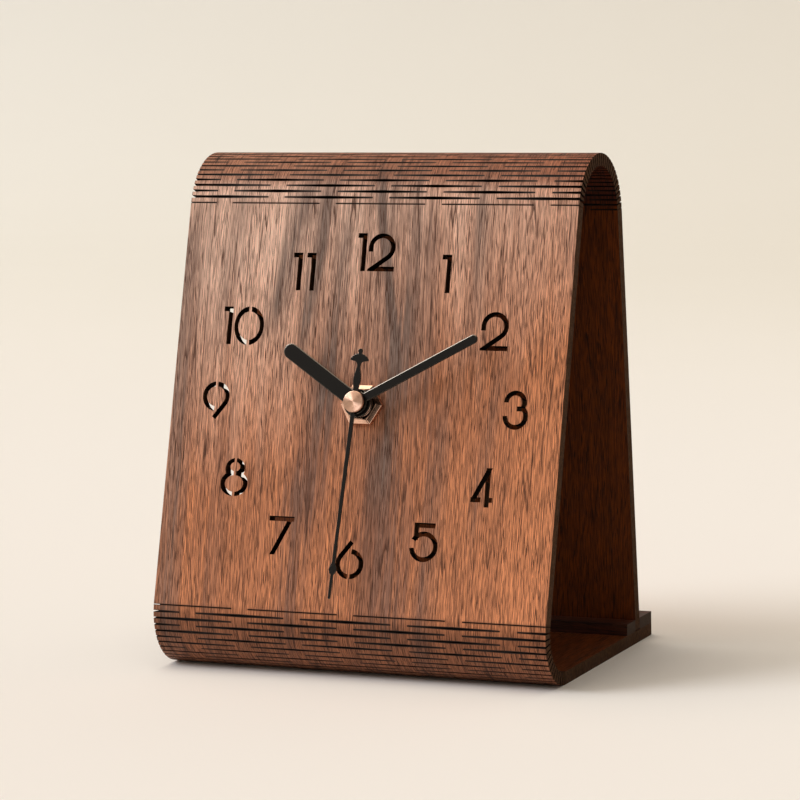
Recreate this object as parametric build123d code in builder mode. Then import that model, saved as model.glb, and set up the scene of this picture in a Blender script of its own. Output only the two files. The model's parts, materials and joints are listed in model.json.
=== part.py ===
from build123d import *
from math import cos, radians, sin, tan
import os

# A desk clock folded from one kerfed sheet, with a quartz movement behind its front panel.
# The origin is the middle of the base's flat underside. The dial faces -Y and +Z is up.
# Lengths are in millimetres, angles in degrees, and every cut runs past its solid by one overrun.
overrun = 1.0

# The folded sheet
clock_width = 130.0
sheet_thickness = 4.0
panel_length = 126.3
panel_lean = 15.4
back_lean = 5.5
top_bend_radius = 20.1
bottom_bend_radius = 17.1
foot_gap = 0.3
top_strip_count = 28
bottom_strip_count = 15

# Kerfs, sawn narrow and opened in their middle by the bend, but not in a bend's first and last row
kerf_length = 30.0
kerf_link = 5.5
saw_width = 0.2
kerf_opening = 0.5
wide_kerf_opening = 0.9
wide_row_count = 4

# Strips glued on the base, before and behind the back panel's foot
strip_height = 3.7
front_strip_depth = 8.4
rear_strip_depth = 11.366
glue_line = 0.1

# Dial and stencil numerals: shares of the panel's length, or for the three and nine of its width
dial_height_share = 0.50277
neck_hole = 8.3
numeral_ring_share = 0.37688
side_numeral_ring_share = 0.38462
ten_shift = 1.6
numeral_height = 11.9
stroke = 1.5
bridge = 0.8
digit_gap = 0.75
ones_gap = 1.45
one_width = 3.1
two_bowl = 3.7
two_hook = 1.3
two_slope = 35.5
three_crown = 2.93
three_bowl = 3.34
three_crown_shift = 0.28
three_bar = 2.1
three_crown_end = 45.0
three_bowl_start = 60.0
four_width = 7.0
four_stem_inset = 1.0
four_bar_rise = 2.2
four_bridge = 1.2
four_slope = 63.4
five_bar = 6.8
five_bowl = 3.9
five_bowl_start = 150.0
five_bowl_end = 187.0
six_bowl = 3.88
six_slope = 53.0
six_bowl_start = 85.0
seven_width = 8.4
seven_slope = 64.0
eight_crown = 3.33
eight_bowl_width = 4.7
eight_bowl_height = 3.95
eight_crown_island_width = 1.7
eight_crown_island_height = 1.45
eight_bowl_island_width = 3.1
eight_bowl_island_height = 2.6
eight_waist = 1.2
zero_width = 5.1
zero_height = 6.1
zero_island_width = 3.7
zero_island_height = 4.5

# Neck, nut and gasket: heights are over the panel's outer face, inward ones negative
neck_diameter = 8.0
neck_bore = 5.1
neck_top = 3.2
neck_flange = 10.5
neck_flange_thickness = 0.6
neck_chamfer = 0.3
nut_across_flats = 12.0
nut_thickness = 2.4
nut_bevel_width = 1.3
nut_bevel_height = 0.8
thread_clearance = 0.04
gasket_thickness = 1.0
gasket_diameter = 19.0

# Small rounds that the dial or the case hides are drawn with flats: pins with fewer than rods
rod_flat_count = 12
pin_flat_count = 8
pin_limit = 2.4

# Fits
running_clearance = 0.05
push_clearance = 0.02
seat_clearance = 0.1

# Movement case
case_size = 56.0
case_corner = 2.0
case_wall = 1.2
case_depth = 16.3
case_chamfer = 0.6
bay_height = 15.6
bay_wall = 1.0
post_diameter = 3.2
screw_pilot = 1.2
post_places_share = ((-0.58, 0.42), (-0.61, -0.27), (0.5, -0.27))

# Gear train: each wheel has its own layer, counted from the case front
train_distance = 7.2
first_layer_depth = 1.0
layer_pitch = 2.0
wheel_thickness = 0.8
pinion_length = 1.2
pivot_diameter = 0.8
pivot_seat = 0.6
hub_diameter = 1.6
tooth_tip_share = 0.11
tooth_root_share = 0.28
addendum_share = 0.85
dedendum_share = 1.1
wheel_dedendum_share = 1.5
third_bearing = 150.0
intermediate_bearing = 50.0
rotor_bearing = 20.0
motion_bearing = 215.0
setting_bearing = 175.0
bridge_thickness = 1.0
bridge_margin = 2.6
screw_head = 2.6
screw_head_height = 0.7
screw_length = 4.0

# Hand arbors, one inside the other
second_arbor_diameter = 0.8
minute_tube_diameter = 2.8
hour_pipe_diameter = 5.0
tube_shoulder_diameter = 2.2

# Motor
magnet_diameter = 6.0
magnet_length = 3.0
magnet_bore = 1.6
stator_bore = 7.0
stator_ring = 10.0
stator_thickness = 0.8
stator_leg = 3.2
coil_rise = 20.5
coil_length = 22.0
coil_shift = 4.0
coil_flange = 8.6
coil_flange_thickness = 1.0
coil_diameter = 7.4
bobbin_diameter = 4.2
core_width = 2.8
core_thickness = 1.2
core_overhang = 2.6

# Circuit
board_width = 8.6
board_height = 22.0
board_thickness = 1.0
board_depth = 2.2
board_edge_gap = 0.6
board_drop = 2.0
board_post = 2.4
crystal_diameter = 2.0
crystal_length = 6.0
chip_diameter = 5.0
chip_height = 0.9

# Battery and contacts
cell_diameter = 14.2
cell_length = 49.0
cell_nub_diameter = 5.5
cell_nub_length = 1.2
contact_thickness = 0.4
contact_width = 7.0
contact_bow = 1.3

# Setting knob
knob_shaft = 2.0
knob_diameter = 9.0
knob_length = 3.2
knob_gap = 0.5
knob_flute_count = 18
knob_flute_depth = 0.5

# Hands: the angle is the clock angle shown, the height that of the hand's underside
hour_angle = 303.2
hour_reach = 30.6
hour_width = 4.8
hour_hub = 8.8
hour_thickness = 0.5
hour_height = 4.3
hour_collar = 6.4
minute_angle = 61.0
minute_reach = 43.4
minute_width = 2.75
minute_hub = 7.4
minute_thickness = 0.5
minute_height = 5.5
minute_collar = 4.2
collar_length = 0.6
second_angle = 182.6
second_reach = 60.5
second_thickness = 0.4
second_height = 6.7
second_hub = 5.0
second_collar = 1.8
second_root_width = 1.4
second_tip_width = 0.9
lozenge_distance = 51.5
lozenge_width = 2.7
lozenge_length = 3.0
lozenge_foot_share = 0.7
tail_bulge_distance = 7.4
tail_bulge_width = 2.5
tail_neck_distance = 10.9
tail_neck_width = 1.15
crescent_root = 11.3
crescent_tip = 12.9
crescent_shoulder = 14.8
crescent_width = 6.0
crescent_under_share = (0.225, 0.69)
crescent_over_share = (0.35, 0.76)
finial_distance = 16.5
finial_neck_width = 1.2
finial_diameter = 1.5
cap_diameter = 6.6
cap_height = 0.8
cap_edge = 0.25
cap_cone = 0.12

# Levels worked out from the stack
case_front = -sheet_thickness - gasket_thickness
case_inside = case_front - case_wall
case_rear = case_front - case_depth
cover_front = case_rear + case_wall
bridge_rear = cover_front + screw_head_height + seat_clearance
bridge_front = bridge_rear + bridge_thickness
neck_foot = case_inside


def side_point(start, distance, angle):
    """A point of the side view, y to the back and z up, at a distance and angle from another."""
    return (start[0] + distance * cos(radians(angle)), start[1] + distance * sin(radians(angle)))


def dial_point(distance, clock_angle):
    """A point of the dial, x to the right and y up the panel, at a clock angle."""
    return (distance * sin(radians(clock_angle)), distance * cos(radians(clock_angle)))


# The way that each flat of the sheet faces, in the side view
panel_facing = 180 - panel_lean
back_facing = back_lean
foot_level = sheet_thickness + foot_gap
back_foot_width = sheet_thickness / cos(radians(back_lean))


def side_chain(start):
    """Panel foot, arch middle and back foot of the side view, from the middle of the front bend."""
    foot = side_point(start, bottom_bend_radius, panel_facing)
    head = side_point(foot, panel_length, panel_facing - 90)
    arch = side_point(head, -top_bend_radius, panel_facing)
    back_head = side_point(arch, top_bend_radius, back_facing)
    back_length = (back_head[1] - foot_level) / cos(radians(back_lean))
    return foot, arch, side_point(back_head, back_length, back_facing - 90)


# The base ends behind the strip that backs the rear panel, and its middle is the origin
back_run = side_chain((0, bottom_bend_radius))[-1][0]
base_length = back_run + glue_line + foot_gap * tan(radians(back_lean)) + rear_strip_depth
bottom_centre = (-base_length / 2, bottom_bend_radius)
panel_foot, top_centre, back_foot = side_chain(bottom_centre)
dial_height = panel_length * dial_height_share
numeral_ring = panel_length * numeral_ring_share
side_numeral_ring = clock_width * side_numeral_ring_share

# The dial's plane, on the panel's outer face at the hands' arbor
dial = Plane(
    origin=(0, *side_point(panel_foot, dial_height, panel_facing - 90)),
    x_dir=(1, 0, 0),
    z_dir=(0, cos(radians(panel_facing)), sin(radians(panel_facing))),
)
dial_axis = Axis(dial.origin, dial.z_dir)


def level(height):
    """The dial's plane, moved out by a height over the panel's face."""
    return dial.offset(height)


# The folded sheet


def bottom_folds():
    """Kerf rows of the front foot, base first: place, facing and turn of the sheet there."""
    step = (270 - panel_facing) / bottom_strip_count
    corner_radius = bottom_bend_radius / cos(radians(step / 2))
    folds = []
    for row in range(bottom_strip_count):
        facing = 270 - step * (row + 0.5)
        folds.append((side_point(bottom_centre, corner_radius, facing), facing, step))
    return folds


def top_folds():
    """Kerf rows of the arch, panel first. The first and last turn the sheet by half a step."""
    step = (panel_facing - back_facing) / top_strip_count
    folds = []
    for row in range(top_strip_count + 1):
        angle = panel_facing - step * row
        place = side_point(top_centre, top_bend_radius, angle)
        if row == 0:
            folds.append((place, angle - step / 4, step / 2))
        elif row == top_strip_count:
            folds.append((place, angle + step / 4, step / 2))
        else:
            folds.append((place, angle, step))
    return folds


def sheet_outline():
    """The sheet's closed side view: outer skin from the base's rear end, then the inner skin back."""
    folds = bottom_folds() + top_folds()
    outer = [(base_length / 2, 0)]
    inner = [(base_length / 2, sheet_thickness)]
    for place, facing, turn in folds:
        outer.append(place)
        inner.append(side_point(place, -sheet_thickness / cos(radians(turn / 2)), facing))
    outer.append(back_foot)
    inner.append((back_foot[0] - back_foot_width, back_foot[1]))
    return outer + inner[::-1]


def kerf_planes(rows):
    """The planes of some kerf rows, each square to the line that halves the fold."""
    planes = []
    for place, facing, turn in rows:
        out = (0, cos(radians(facing)), sin(radians(facing)))
        planes.append(Plane(origin=(0, *place), x_dir=(1, 0, 0), z_dir=out))
    return planes


def kerf(length, opening):
    """One kerf's outline: a saw line, or wider in its middle where the bend opens it."""
    end = length / 2
    side = opening / 2
    if opening > saw_width:
        Polygon((-end, 0), (0, -side), (end, 0), (0, side))
    else:
        Rectangle(length, saw_width)


def kerf_row(first, opening):
    """A row of kerfs at even pitch from a first one; one that meets an edge runs out through it."""
    pitch = kerf_length + kerf_link
    edge = clock_width / 2
    count = int(edge / pitch) + 1
    for number in range(-count, count + 1):
        centre = first + number * pitch
        near_end = abs(centre) - kerf_length / 2
        if abs(centre) + kerf_length / 2 < edge:
            with Locations((centre, 0)):
                kerf(kerf_length, opening)
        elif near_end < edge:
            with Locations((edge if centre > 0 else -edge, 0)):
                kerf(2 * (edge - near_end), opening)


# Stencil digits, each drawn about its own middle


def digit_zero():
    """An oval ring, held by a bridge at its head and foot."""
    with BuildSketch() as digit:
        Ellipse(zero_width, zero_height)
        Ellipse(zero_island_width, zero_island_height, mode=Mode.SUBTRACT)
        Rectangle(bridge, 2 * zero_height + overrun, mode=Mode.SUBTRACT)
    return digit.sketch


def digit_one():
    """A stem with a square flag."""
    with BuildSketch() as digit:
        with Locations(((one_width - stroke) / 2, 0)):
            Rectangle(stroke, numeral_height)
        with Locations((0, (numeral_height - stroke) / 2)):
            Rectangle(one_width, stroke)
    return digit.sketch


def digit_two():
    """A hooked bowl that runs down a straight diagonal into the foot."""
    head = (numeral_height - stroke) / 2 - two_bowl
    lowest = -(numeral_height - stroke) / 2
    bowl_end = two_slope - 90
    turn = side_point((0, head), two_bowl, bowl_end)
    foot_start = turn[0] - (turn[1] - lowest) / tan(radians(two_slope))
    width = 2 * two_bowl + stroke
    with BuildSketch() as digit:
        with BuildLine():
            Line((-two_bowl, head - two_hook), (-two_bowl, head))
            CenterArc((0, head), two_bowl, 180, bowl_end - 180)
            Line(turn, side_point(turn, numeral_height, two_slope + 180))
        trace(line_width=stroke)
        with Locations(((foot_start + width / 2) / 2, lowest)):
            Rectangle(width / 2 - foot_start, stroke)
        Rectangle(width, numeral_height, mode=Mode.INTERSECT)
    return digit.sketch


def digit_three():
    """Two bowls that meet on a short bar."""
    crown = (-three_crown_shift, (numeral_height - stroke) / 2 - three_crown)
    bowl = (0, three_bowl - (numeral_height - stroke) / 2)
    middle = (crown[1] - three_crown + bowl[1] + three_bowl) / 2
    bar_end = side_point(bowl, three_bowl, three_bowl_start)[0] + stroke / 2
    with BuildSketch() as digit:
        with BuildLine():
            CenterArc(crown, three_crown, 180, -180 - three_crown_end)
        trace(line_width=stroke)
        with BuildLine():
            CenterArc(bowl, three_bowl, three_bowl_start, -180 - three_bowl_start)
        trace(line_width=stroke)
        with Locations((bar_end - three_bar / 2, middle)):
            Rectangle(three_bar, stroke)
    return digit.sketch


def digit_four():
    """A stem, a diagonal and a bar, with the bar bridged beside the stem."""
    stem = four_width / 2 - four_stem_inset - stroke / 2
    bar = four_bar_rise - numeral_height / 2
    left = -four_width / 2
    bar_length = stem - stroke / 2 - four_bridge - left
    with BuildSketch() as digit:
        with BuildLine():
            foot = (left + stroke / 2 / sin(radians(four_slope)), bar)
            Line(foot, side_point(foot, numeral_height, four_slope))
        trace(line_width=stroke)
        with Locations((left + bar_length / 2, bar)):
            Rectangle(bar_length, stroke)
        with Locations((stem, 0)):
            Rectangle(stroke, numeral_height)
        with Locations(((stem + four_width / 2) / 2, bar)):
            Rectangle(four_width / 2 - stem, stroke)
        Rectangle(four_width, numeral_height, mode=Mode.INTERSECT)
    return digit.sketch


def digit_five():
    """A flag and a short stem over a round bowl."""
    bowl = (0, five_bowl - (numeral_height - stroke) / 2)
    start = side_point(bowl, five_bowl, five_bowl_start)
    stem_height = numeral_height / 2 - start[1]
    with BuildSketch() as digit:
        with BuildLine():
            CenterArc(bowl, five_bowl, five_bowl_start, five_bowl_end - five_bowl_start - 360)
        trace(line_width=stroke)
        with Locations((0, (numeral_height - stroke) / 2)):
            Rectangle(five_bar, stroke)
        with Locations(((stroke - five_bar) / 2, start[1] + stem_height / 2)):
            Rectangle(stroke, stem_height)
    return digit.sketch


def digit_six():
    """A bowl and a straight stem that leaves it along a tangent, with two bridges."""
    bowl = (0, six_bowl - (numeral_height - stroke) / 2)
    leave = side_point(bowl, six_bowl, six_slope + 90)
    tip_rise = (numeral_height - stroke * cos(radians(six_slope))) / 2 - leave[1]
    turn = six_slope + 90 - six_bowl_start - 360
    with BuildSketch() as digit:
        with BuildLine():
            CenterArc(bowl, six_bowl, six_bowl_start, turn)
            Line(leave, side_point(leave, tip_rise / sin(radians(six_slope)), six_slope))
        trace(line_width=stroke)
        with Locations((0, (stroke - numeral_height) / 2)):
            Rectangle(bridge, 2 * stroke, mode=Mode.SUBTRACT)
    return digit.sketch


def digit_seven():
    """A bar and a diagonal."""
    run = numeral_height / tan(radians(seven_slope))
    top_right = (seven_width / 2 - stroke / 2 / sin(radians(seven_slope)), numeral_height / 2)
    start = side_point(top_right, stroke, seven_slope)
    with BuildSketch() as digit:
        with BuildLine():
            Line(start, side_point(start, numeral_height + run, seven_slope + 180))
        trace(line_width=stroke)
        with Locations((0, (numeral_height - stroke) / 2)):
            Rectangle(seven_width, stroke)
        Rectangle(seven_width, numeral_height, mode=Mode.INTERSECT)
    return digit.sketch


def digit_eight():
    """Two bowls with an island in each and a bridge at head, waist and foot."""
    crown = numeral_height / 2 - eight_crown
    bowl = eight_bowl_height - numeral_height / 2
    bowl_island = bowl
    crown_island = bowl_island + eight_bowl_island_height + eight_waist + eight_crown_island_height
    with BuildSketch() as digit:
        with Locations((0, crown)):
            Circle(eight_crown)
        with Locations((0, bowl)):
            Ellipse(eight_bowl_width, eight_bowl_height)
        with Locations((0, crown_island)):
            Ellipse(eight_crown_island_width, eight_crown_island_height, mode=Mode.SUBTRACT)
        with Locations((0, bowl_island)):
            Ellipse(eight_bowl_island_width, eight_bowl_island_height, mode=Mode.SUBTRACT)
        Rectangle(bridge, numeral_height + overrun, mode=Mode.SUBTRACT)
    return digit.sketch


def digit_nine():
    """The six, turned half round."""
    with BuildSketch() as digit:
        with Locations(Location((0, 0, 0), (0, 0, 180))):
            add(digit_six())
    return digit.sketch


digits = {
    "0": digit_zero(),
    "1": digit_one(),
    "2": digit_two(),
    "3": digit_three(),
    "4": digit_four(),
    "5": digit_five(),
    "6": digit_six(),
    "7": digit_seven(),
    "8": digit_eight(),
    "9": digit_nine(),
}


def numeral(hour):
    """One or two digits side by side, about their middle."""
    marks = str(hour)
    widths = [digits[mark].bounding_box().size.X for mark in marks]
    gap = ones_gap if marks == "11" else digit_gap
    left = -(sum(widths) + gap * (len(marks) - 1)) / 2
    with BuildSketch() as sketch:
        for mark, width in zip(marks, widths):
            with Locations((left + width / 2, 0)):
                add(digits[mark])
            left += width + gap
    return sketch.sketch


def numeral_place(hour):
    """Where a numeral's middle lies on the dial."""
    ring = side_numeral_ring if hour in (3, 9) else numeral_ring
    x, y = dial_point(ring, 30 * hour)
    return (x - ten_shift, y) if hour == 10 else (x, y)


numerals = {hour: numeral(hour) for hour in range(1, 13)}
bottom_rows = bottom_folds()[::-1]
top_rows = top_folds()
half_pitch = (kerf_length + kerf_link) / 2

# Rows that are sawn alike, where the middle of one of their kerfs lies, and its opening. The bend
# opens the arch's first rows most, next to the flat panel.
narrow_start = wide_row_count + 1
kerf_cuts = (
    ([top_rows[0], top_rows[-1]], 0, saw_width),
    ([bottom_rows[0], bottom_rows[-1]], half_pitch, saw_width),
    (top_rows[1:narrow_start:2], half_pitch, wide_kerf_opening),
    (top_rows[2:narrow_start:2], 0, wide_kerf_opening),
    (top_rows[narrow_start:-1:2] + bottom_rows[2:-1:2], half_pitch, kerf_opening),
    (top_rows[narrow_start + 1:-1:2] + bottom_rows[1:-1:2], 0, kerf_opening),
)

with BuildPart() as bent_sheet:
    with BuildSketch(Plane.YZ):
        with BuildLine():
            Polyline(*sheet_outline(), close=True)
        make_face()
    extrude(amount=clock_width / 2, both=True)
    for rows, first, opening in kerf_cuts:
        with BuildSketch(*kerf_planes(rows)):
            kerf_row(first, opening)
        extrude(amount=sheet_thickness + overrun, both=True, mode=Mode.SUBTRACT)
    with BuildSketch(dial):
        Circle(neck_hole / 2)
        for hour in range(1, 13):
            with Locations(numeral_place(hour)):
                add(numerals[hour])
    extrude(amount=sheet_thickness + overrun, both=True, mode=Mode.SUBTRACT)
bent_sheet.part.label = "bent_sheet"

# Strips on the base. Their faces beside the back panel lean as it does.
strip_top = sheet_thickness + strip_height
strip_lean = strip_height * tan(radians(back_lean))
rear_face_at_base = back_foot[0] + glue_line + foot_gap * tan(radians(back_lean))
front_face_at_base = rear_face_at_base - back_foot_width - 2 * glue_line

with BuildPart() as foot_strip_front:
    with BuildSketch(Plane.YZ):
        with BuildLine():
            Polyline(
                (front_face_at_base - front_strip_depth, sheet_thickness),
                (front_face_at_base, sheet_thickness),
                (front_face_at_base - strip_lean, strip_top),
                (front_face_at_base - front_strip_depth, strip_top),
                close=True,
            )
        make_face()
    extrude(amount=clock_width / 2, both=True)
foot_strip_front.part.label = "foot_strip_front"

with BuildPart() as foot_strip_rear:
    with BuildSketch(Plane.YZ):
        with BuildLine():
            Polyline(
                (rear_face_at_base, sheet_thickness),
                (base_length / 2, sheet_thickness),
                (base_length / 2, strip_top),
                (rear_face_at_base - strip_lean, strip_top),
                close=True,
            )
        make_face()
    extrude(amount=clock_width / 2, both=True)
foot_strip_rear.part.label = "foot_strip_rear"


# Helpers for what stands along the dial's normal


def posts(places, low, high, diameter, mode=Mode.ADD):
    """Round bars, or holes, at places of the dial between two heights over the panel."""
    with BuildSketch(level(low)) as section:
        with Locations(*places):
            Circle(diameter / 2)
    extrude(section.sketch, amount=high - low, mode=mode)


def rods(places, low, high, diameter, mode=Mode.ADD):
    """Small bars within a diameter, or holes around it, drawn with flats in place of a round."""
    flats = rod_flat_count if diameter > pin_limit else pin_flat_count
    with BuildSketch(level(low)) as section:
        with Locations(*places):
            RegularPolygon(diameter / 2, flats, major_radius=mode == Mode.ADD)
    extrude(section.sketch, amount=high - low, mode=mode)


def block(place, width, height, low, high, mode=Mode.ADD):
    """A square-edged block, or cut, at a place of the dial between two heights."""
    with BuildSketch(level(low)) as section:
        with Locations(place):
            Rectangle(width, height)
    extrude(section.sketch, amount=high - low, mode=mode)


def front_face(builder):
    """The face of a piece that lies furthest out over the dial."""
    return builder.faces().sort_by(dial_axis)[-1]


def rear_face(builder):
    """The face of a piece that lies furthest in behind the dial."""
    return builder.faces().sort_by(dial_axis)[0]


# Neck, nut and gasket

with BuildPart() as threaded_neck:
    posts([(0, 0)], neck_foot, neck_top, neck_diameter)
    chamfer(front_face(threaded_neck).edges(), neck_chamfer)
    with BuildSketch(level(neck_foot)):
        RegularPolygon(neck_flange / 2, 6)
    extrude(amount=neck_flange_thickness)
    rods([(0, 0)], neck_foot - overrun, neck_top + overrun, neck_bore, Mode.SUBTRACT)
threaded_neck.part.label = "threaded_neck"

with BuildPart() as hex_nut:
    with BuildSketch(level(0)):
        RegularPolygon(nut_across_flats / 2, 6, major_radius=False)
    extrude(amount=nut_thickness)
    chamfer(front_face(hex_nut).edges(), nut_bevel_height, nut_bevel_width)
    posts([(0, 0)], -overrun, nut_thickness + overrun, neck_diameter + 2 * thread_clearance, Mode.SUBTRACT)
hex_nut.part.label = "hex_nut"

with BuildPart() as rubber_gasket:
    gasket_front = case_front + gasket_thickness
    with BuildSketch(level(case_front)):
        RegularPolygon(gasket_diameter / 2, 2 * rod_flat_count)
    extrude(amount=gasket_thickness)
    bore = neck_diameter + 2 * seat_clearance
    rods([(0, 0)], case_front - overrun, gasket_front + overrun, bore, Mode.SUBTRACT)
rubber_gasket.part.label = "rubber_gasket"


# The train's places on the dial, and its layers


def apart(start, bearing):
    """A point one train distance from another on the dial, at a bearing from +X."""
    return side_point(start, train_distance, bearing)


def layer(number):
    """The middle height of a layer of wheels."""
    return case_inside - first_layer_depth - number * layer_pitch


centre_place = (0, 0)
third_place = apart(centre_place, third_bearing)
intermediate_place = apart(centre_place, intermediate_bearing)
rotor_place = apart(intermediate_place, rotor_bearing)
motion_place = apart(centre_place, motion_bearing)
setting_place = apart(motion_place, setting_bearing)
hour_layer, motion_layer, centre_layer, third_layer, second_layer, rotor_layer = map(layer, range(6))

rotor_leaf_count = 6
intermediate_tooth_count = 36
intermediate_leaf_count = 6
second_tooth_count = 30
second_leaf_count = 6
third_tooth_count = 45
third_leaf_count = 6
centre_tooth_count = 48
cannon_leaf_count = 10
motion_tooth_count = 30
motion_leaf_count = 8
hour_tooth_count = 32
setting_leaf_count = 10


def meshing(phase, teeth, bearing, other_teeth):
    """The phase of a gear that meshes with one of a known phase, on a bearing from that one."""
    slip = (phase - bearing) % (360 / teeth)
    return bearing + 180 + 180 / other_teeth - slip * teeth / other_teeth


def toothed(place, height, thickness, outline):
    """A flat toothed piece; its outline's points are distances and angles about a place."""
    with BuildSketch(level(height - thickness / 2)) as section:
        with BuildLine():
            Polyline(*[side_point(place, distance, angle) for distance, angle in outline], close=True)
        make_face()
    extrude(section.sketch, amount=thickness)


def wheel(place, height, teeth, leaves, phase):
    """A wheel with pointed teeth that meshes one train distance away; a tooth is at the phase angle."""
    module = 2 * train_distance / (teeth + leaves)
    pitch = 360 / teeth
    outline = []
    for number in range(teeth):
        middle = phase + number * pitch
        outline.append((module * (teeth / 2 + addendum_share), middle))
        outline.append((module * (teeth / 2 - wheel_dedendum_share), middle + pitch / 2))
    toothed(place, height, wheel_thickness, outline)


def pinion(place, height, leaves, teeth, phase):
    """A pinion with flat-topped leaves that meshes with a wheel of some teeth."""
    module = 2 * train_distance / (teeth + leaves)
    pitch = 360 / leaves
    tip = module * (leaves / 2 + addendum_share)
    root = module * (leaves / 2 - dedendum_share)
    outline = []
    for number in range(leaves):
        middle = phase + number * pitch
        outline.append((root, middle - tooth_root_share * pitch))
        outline.append((tip, middle - tooth_tip_share * pitch))
        outline.append((tip, middle + tooth_tip_share * pitch))
        outline.append((root, middle + tooth_root_share * pitch))
    toothed(place, height, pinion_length, outline)


def arbor(place, low, high):
    """A thin pivoted arbor from the bridge to the case front."""
    rods([place], low, high, pivot_diameter)


pivot_front = case_inside + pivot_seat - seat_clearance
pivot_rear = bridge_rear + seat_clearance

with BuildPart() as rotor_pinion:
    arbor(rotor_place, pivot_rear, pivot_front)
    pinion(rotor_place, rotor_layer, rotor_leaf_count, intermediate_tooth_count, 0)
    magnet_rear = rotor_layer + pinion_length
    magnet_front = magnet_rear + magnet_length
    rods([rotor_place], rotor_layer, magnet_front, magnet_bore - 2 * push_clearance)
rotor_pinion.part.label = "rotor_pinion"

with BuildPart() as rotor_magnet:
    rods([rotor_place], magnet_rear, magnet_front, magnet_diameter)
    rods([rotor_place], magnet_rear - overrun, magnet_front + overrun, magnet_bore, Mode.SUBTRACT)
rotor_magnet.part.label = "rotor_magnet"

with BuildPart() as intermediate_wheel:
    arbor(intermediate_place, pivot_rear, pivot_front)
    phase = meshing(0, rotor_leaf_count, rotor_bearing + 180, intermediate_tooth_count)
    wheel(intermediate_place, rotor_layer, intermediate_tooth_count, rotor_leaf_count, phase)
    pinion(intermediate_place, second_layer, intermediate_leaf_count, second_tooth_count, 0)
    rods([intermediate_place], rotor_layer, second_layer - pinion_length / 2, hub_diameter)
intermediate_wheel.part.label = "intermediate_wheel"

with BuildPart() as second_wheel:
    phase = meshing(0, intermediate_leaf_count, intermediate_bearing + 180, second_tooth_count)
    wheel(centre_place, second_layer, second_tooth_count, intermediate_leaf_count, phase)
    pinion(centre_place, third_layer, second_leaf_count, third_tooth_count, 0)
    rods([centre_place], second_layer, third_layer - pinion_length / 2, hub_diameter)
    bore = second_arbor_diameter + 2 * push_clearance
    rods([centre_place], bridge_rear, third_layer + layer_pitch, bore, Mode.SUBTRACT)
second_wheel.part.label = "second_wheel"

with BuildPart() as third_wheel:
    arbor(third_place, pivot_rear, pivot_front)
    phase = meshing(0, second_leaf_count, third_bearing, third_tooth_count)
    wheel(third_place, third_layer, third_tooth_count, second_leaf_count, phase)
    pinion(third_place, centre_layer, third_leaf_count, centre_tooth_count, 0)
    rods([third_place], third_layer, centre_layer - pinion_length / 2, hub_diameter)
third_wheel.part.label = "third_wheel"

with BuildPart() as centre_wheel:
    phase = meshing(0, third_leaf_count, third_bearing + 180, centre_tooth_count)
    wheel(centre_place, centre_layer, centre_tooth_count, third_leaf_count, phase)
    bore = tube_shoulder_diameter + 2 * running_clearance
    rods([centre_place], centre_layer - layer_pitch, centre_layer + layer_pitch, bore, Mode.SUBTRACT)
centre_wheel.part.label = "centre_wheel"

# The minute tube, the wheel work behind the dial, and the setting knob
minute_top = minute_height + minute_thickness
hour_top = hour_height + hour_thickness
second_top = second_height + second_thickness
tube_foot = centre_layer - wheel_thickness

with BuildPart() as minute_tube:
    rods([centre_place], tube_foot, motion_layer, tube_shoulder_diameter)
    rods([centre_place], motion_layer, minute_top, minute_tube_diameter)
    pinion(centre_place, motion_layer, cannon_leaf_count, motion_tooth_count, 0)
    bore = second_arbor_diameter + 2 * running_clearance
    rods([centre_place], tube_foot - overrun, minute_top + overrun, bore, Mode.SUBTRACT)
minute_tube.part.label = "minute_tube"

motion_phase = meshing(0, cannon_leaf_count, motion_bearing, motion_tooth_count)

with BuildPart() as motion_wheel:
    arbor(motion_place, pivot_rear, pivot_front)
    wheel(motion_place, motion_layer, motion_tooth_count, cannon_leaf_count, motion_phase)
    pinion(motion_place, hour_layer, motion_leaf_count, hour_tooth_count, 0)
    rods([motion_place], motion_layer, hour_layer - pinion_length / 2, hub_diameter)
motion_wheel.part.label = "motion_wheel"

with BuildPart() as hour_wheel:
    phase = meshing(0, motion_leaf_count, motion_bearing + 180, hour_tooth_count)
    wheel(centre_place, hour_layer, hour_tooth_count, motion_leaf_count, phase)
    rods([centre_place], hour_layer, hour_top, hour_pipe_diameter)
    bore = minute_tube_diameter + 2 * running_clearance
    rods([centre_place], hour_layer - wheel_thickness, hour_top + overrun, bore, Mode.SUBTRACT)
hour_wheel.part.label = "hour_wheel"

with BuildPart() as second_arbor:
    rods([centre_place], pivot_rear, second_top, second_arbor_diameter)
second_arbor.part.label = "second_arbor"

knob_front = case_rear - knob_gap

with BuildPart() as setting_knob:
    rods([setting_place], motion_layer, pivot_front, pivot_diameter)
    rods([setting_place], knob_front, motion_layer, knob_shaft)
    phase = meshing(motion_phase, motion_tooth_count, setting_bearing, setting_leaf_count)
    pinion(setting_place, motion_layer, setting_leaf_count, motion_tooth_count, phase)
    flute_turn = 180 / knob_flute_count
    grip = []
    for flute in range(knob_flute_count):
        grip.append((knob_diameter / 2, 2 * flute * flute_turn))
        grip.append((knob_diameter / 2 - knob_flute_depth, (2 * flute + 1) * flute_turn))
    toothed(setting_place, knob_front - knob_length / 2, knob_length, grip)
setting_knob.part.label = "setting_knob"

# The movement case
half_inside = case_size / 2 - case_wall
bay_top = -half_inside + bay_height
cell_place_y = -half_inside + bay_height / 2
post_places = [(x * half_inside, y * half_inside) for x, y in post_places_share]
board_place = (half_inside - board_edge_gap - board_width / 2, board_drop)
board_front = case_inside - board_depth + board_thickness
board_rear = case_inside - board_depth
board_holes = [(board_place[0], board_place[1] + side * board_height / 3) for side in (-1, 1)]
pivot_places = [third_place, intermediate_place, rotor_place, motion_place]

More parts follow.
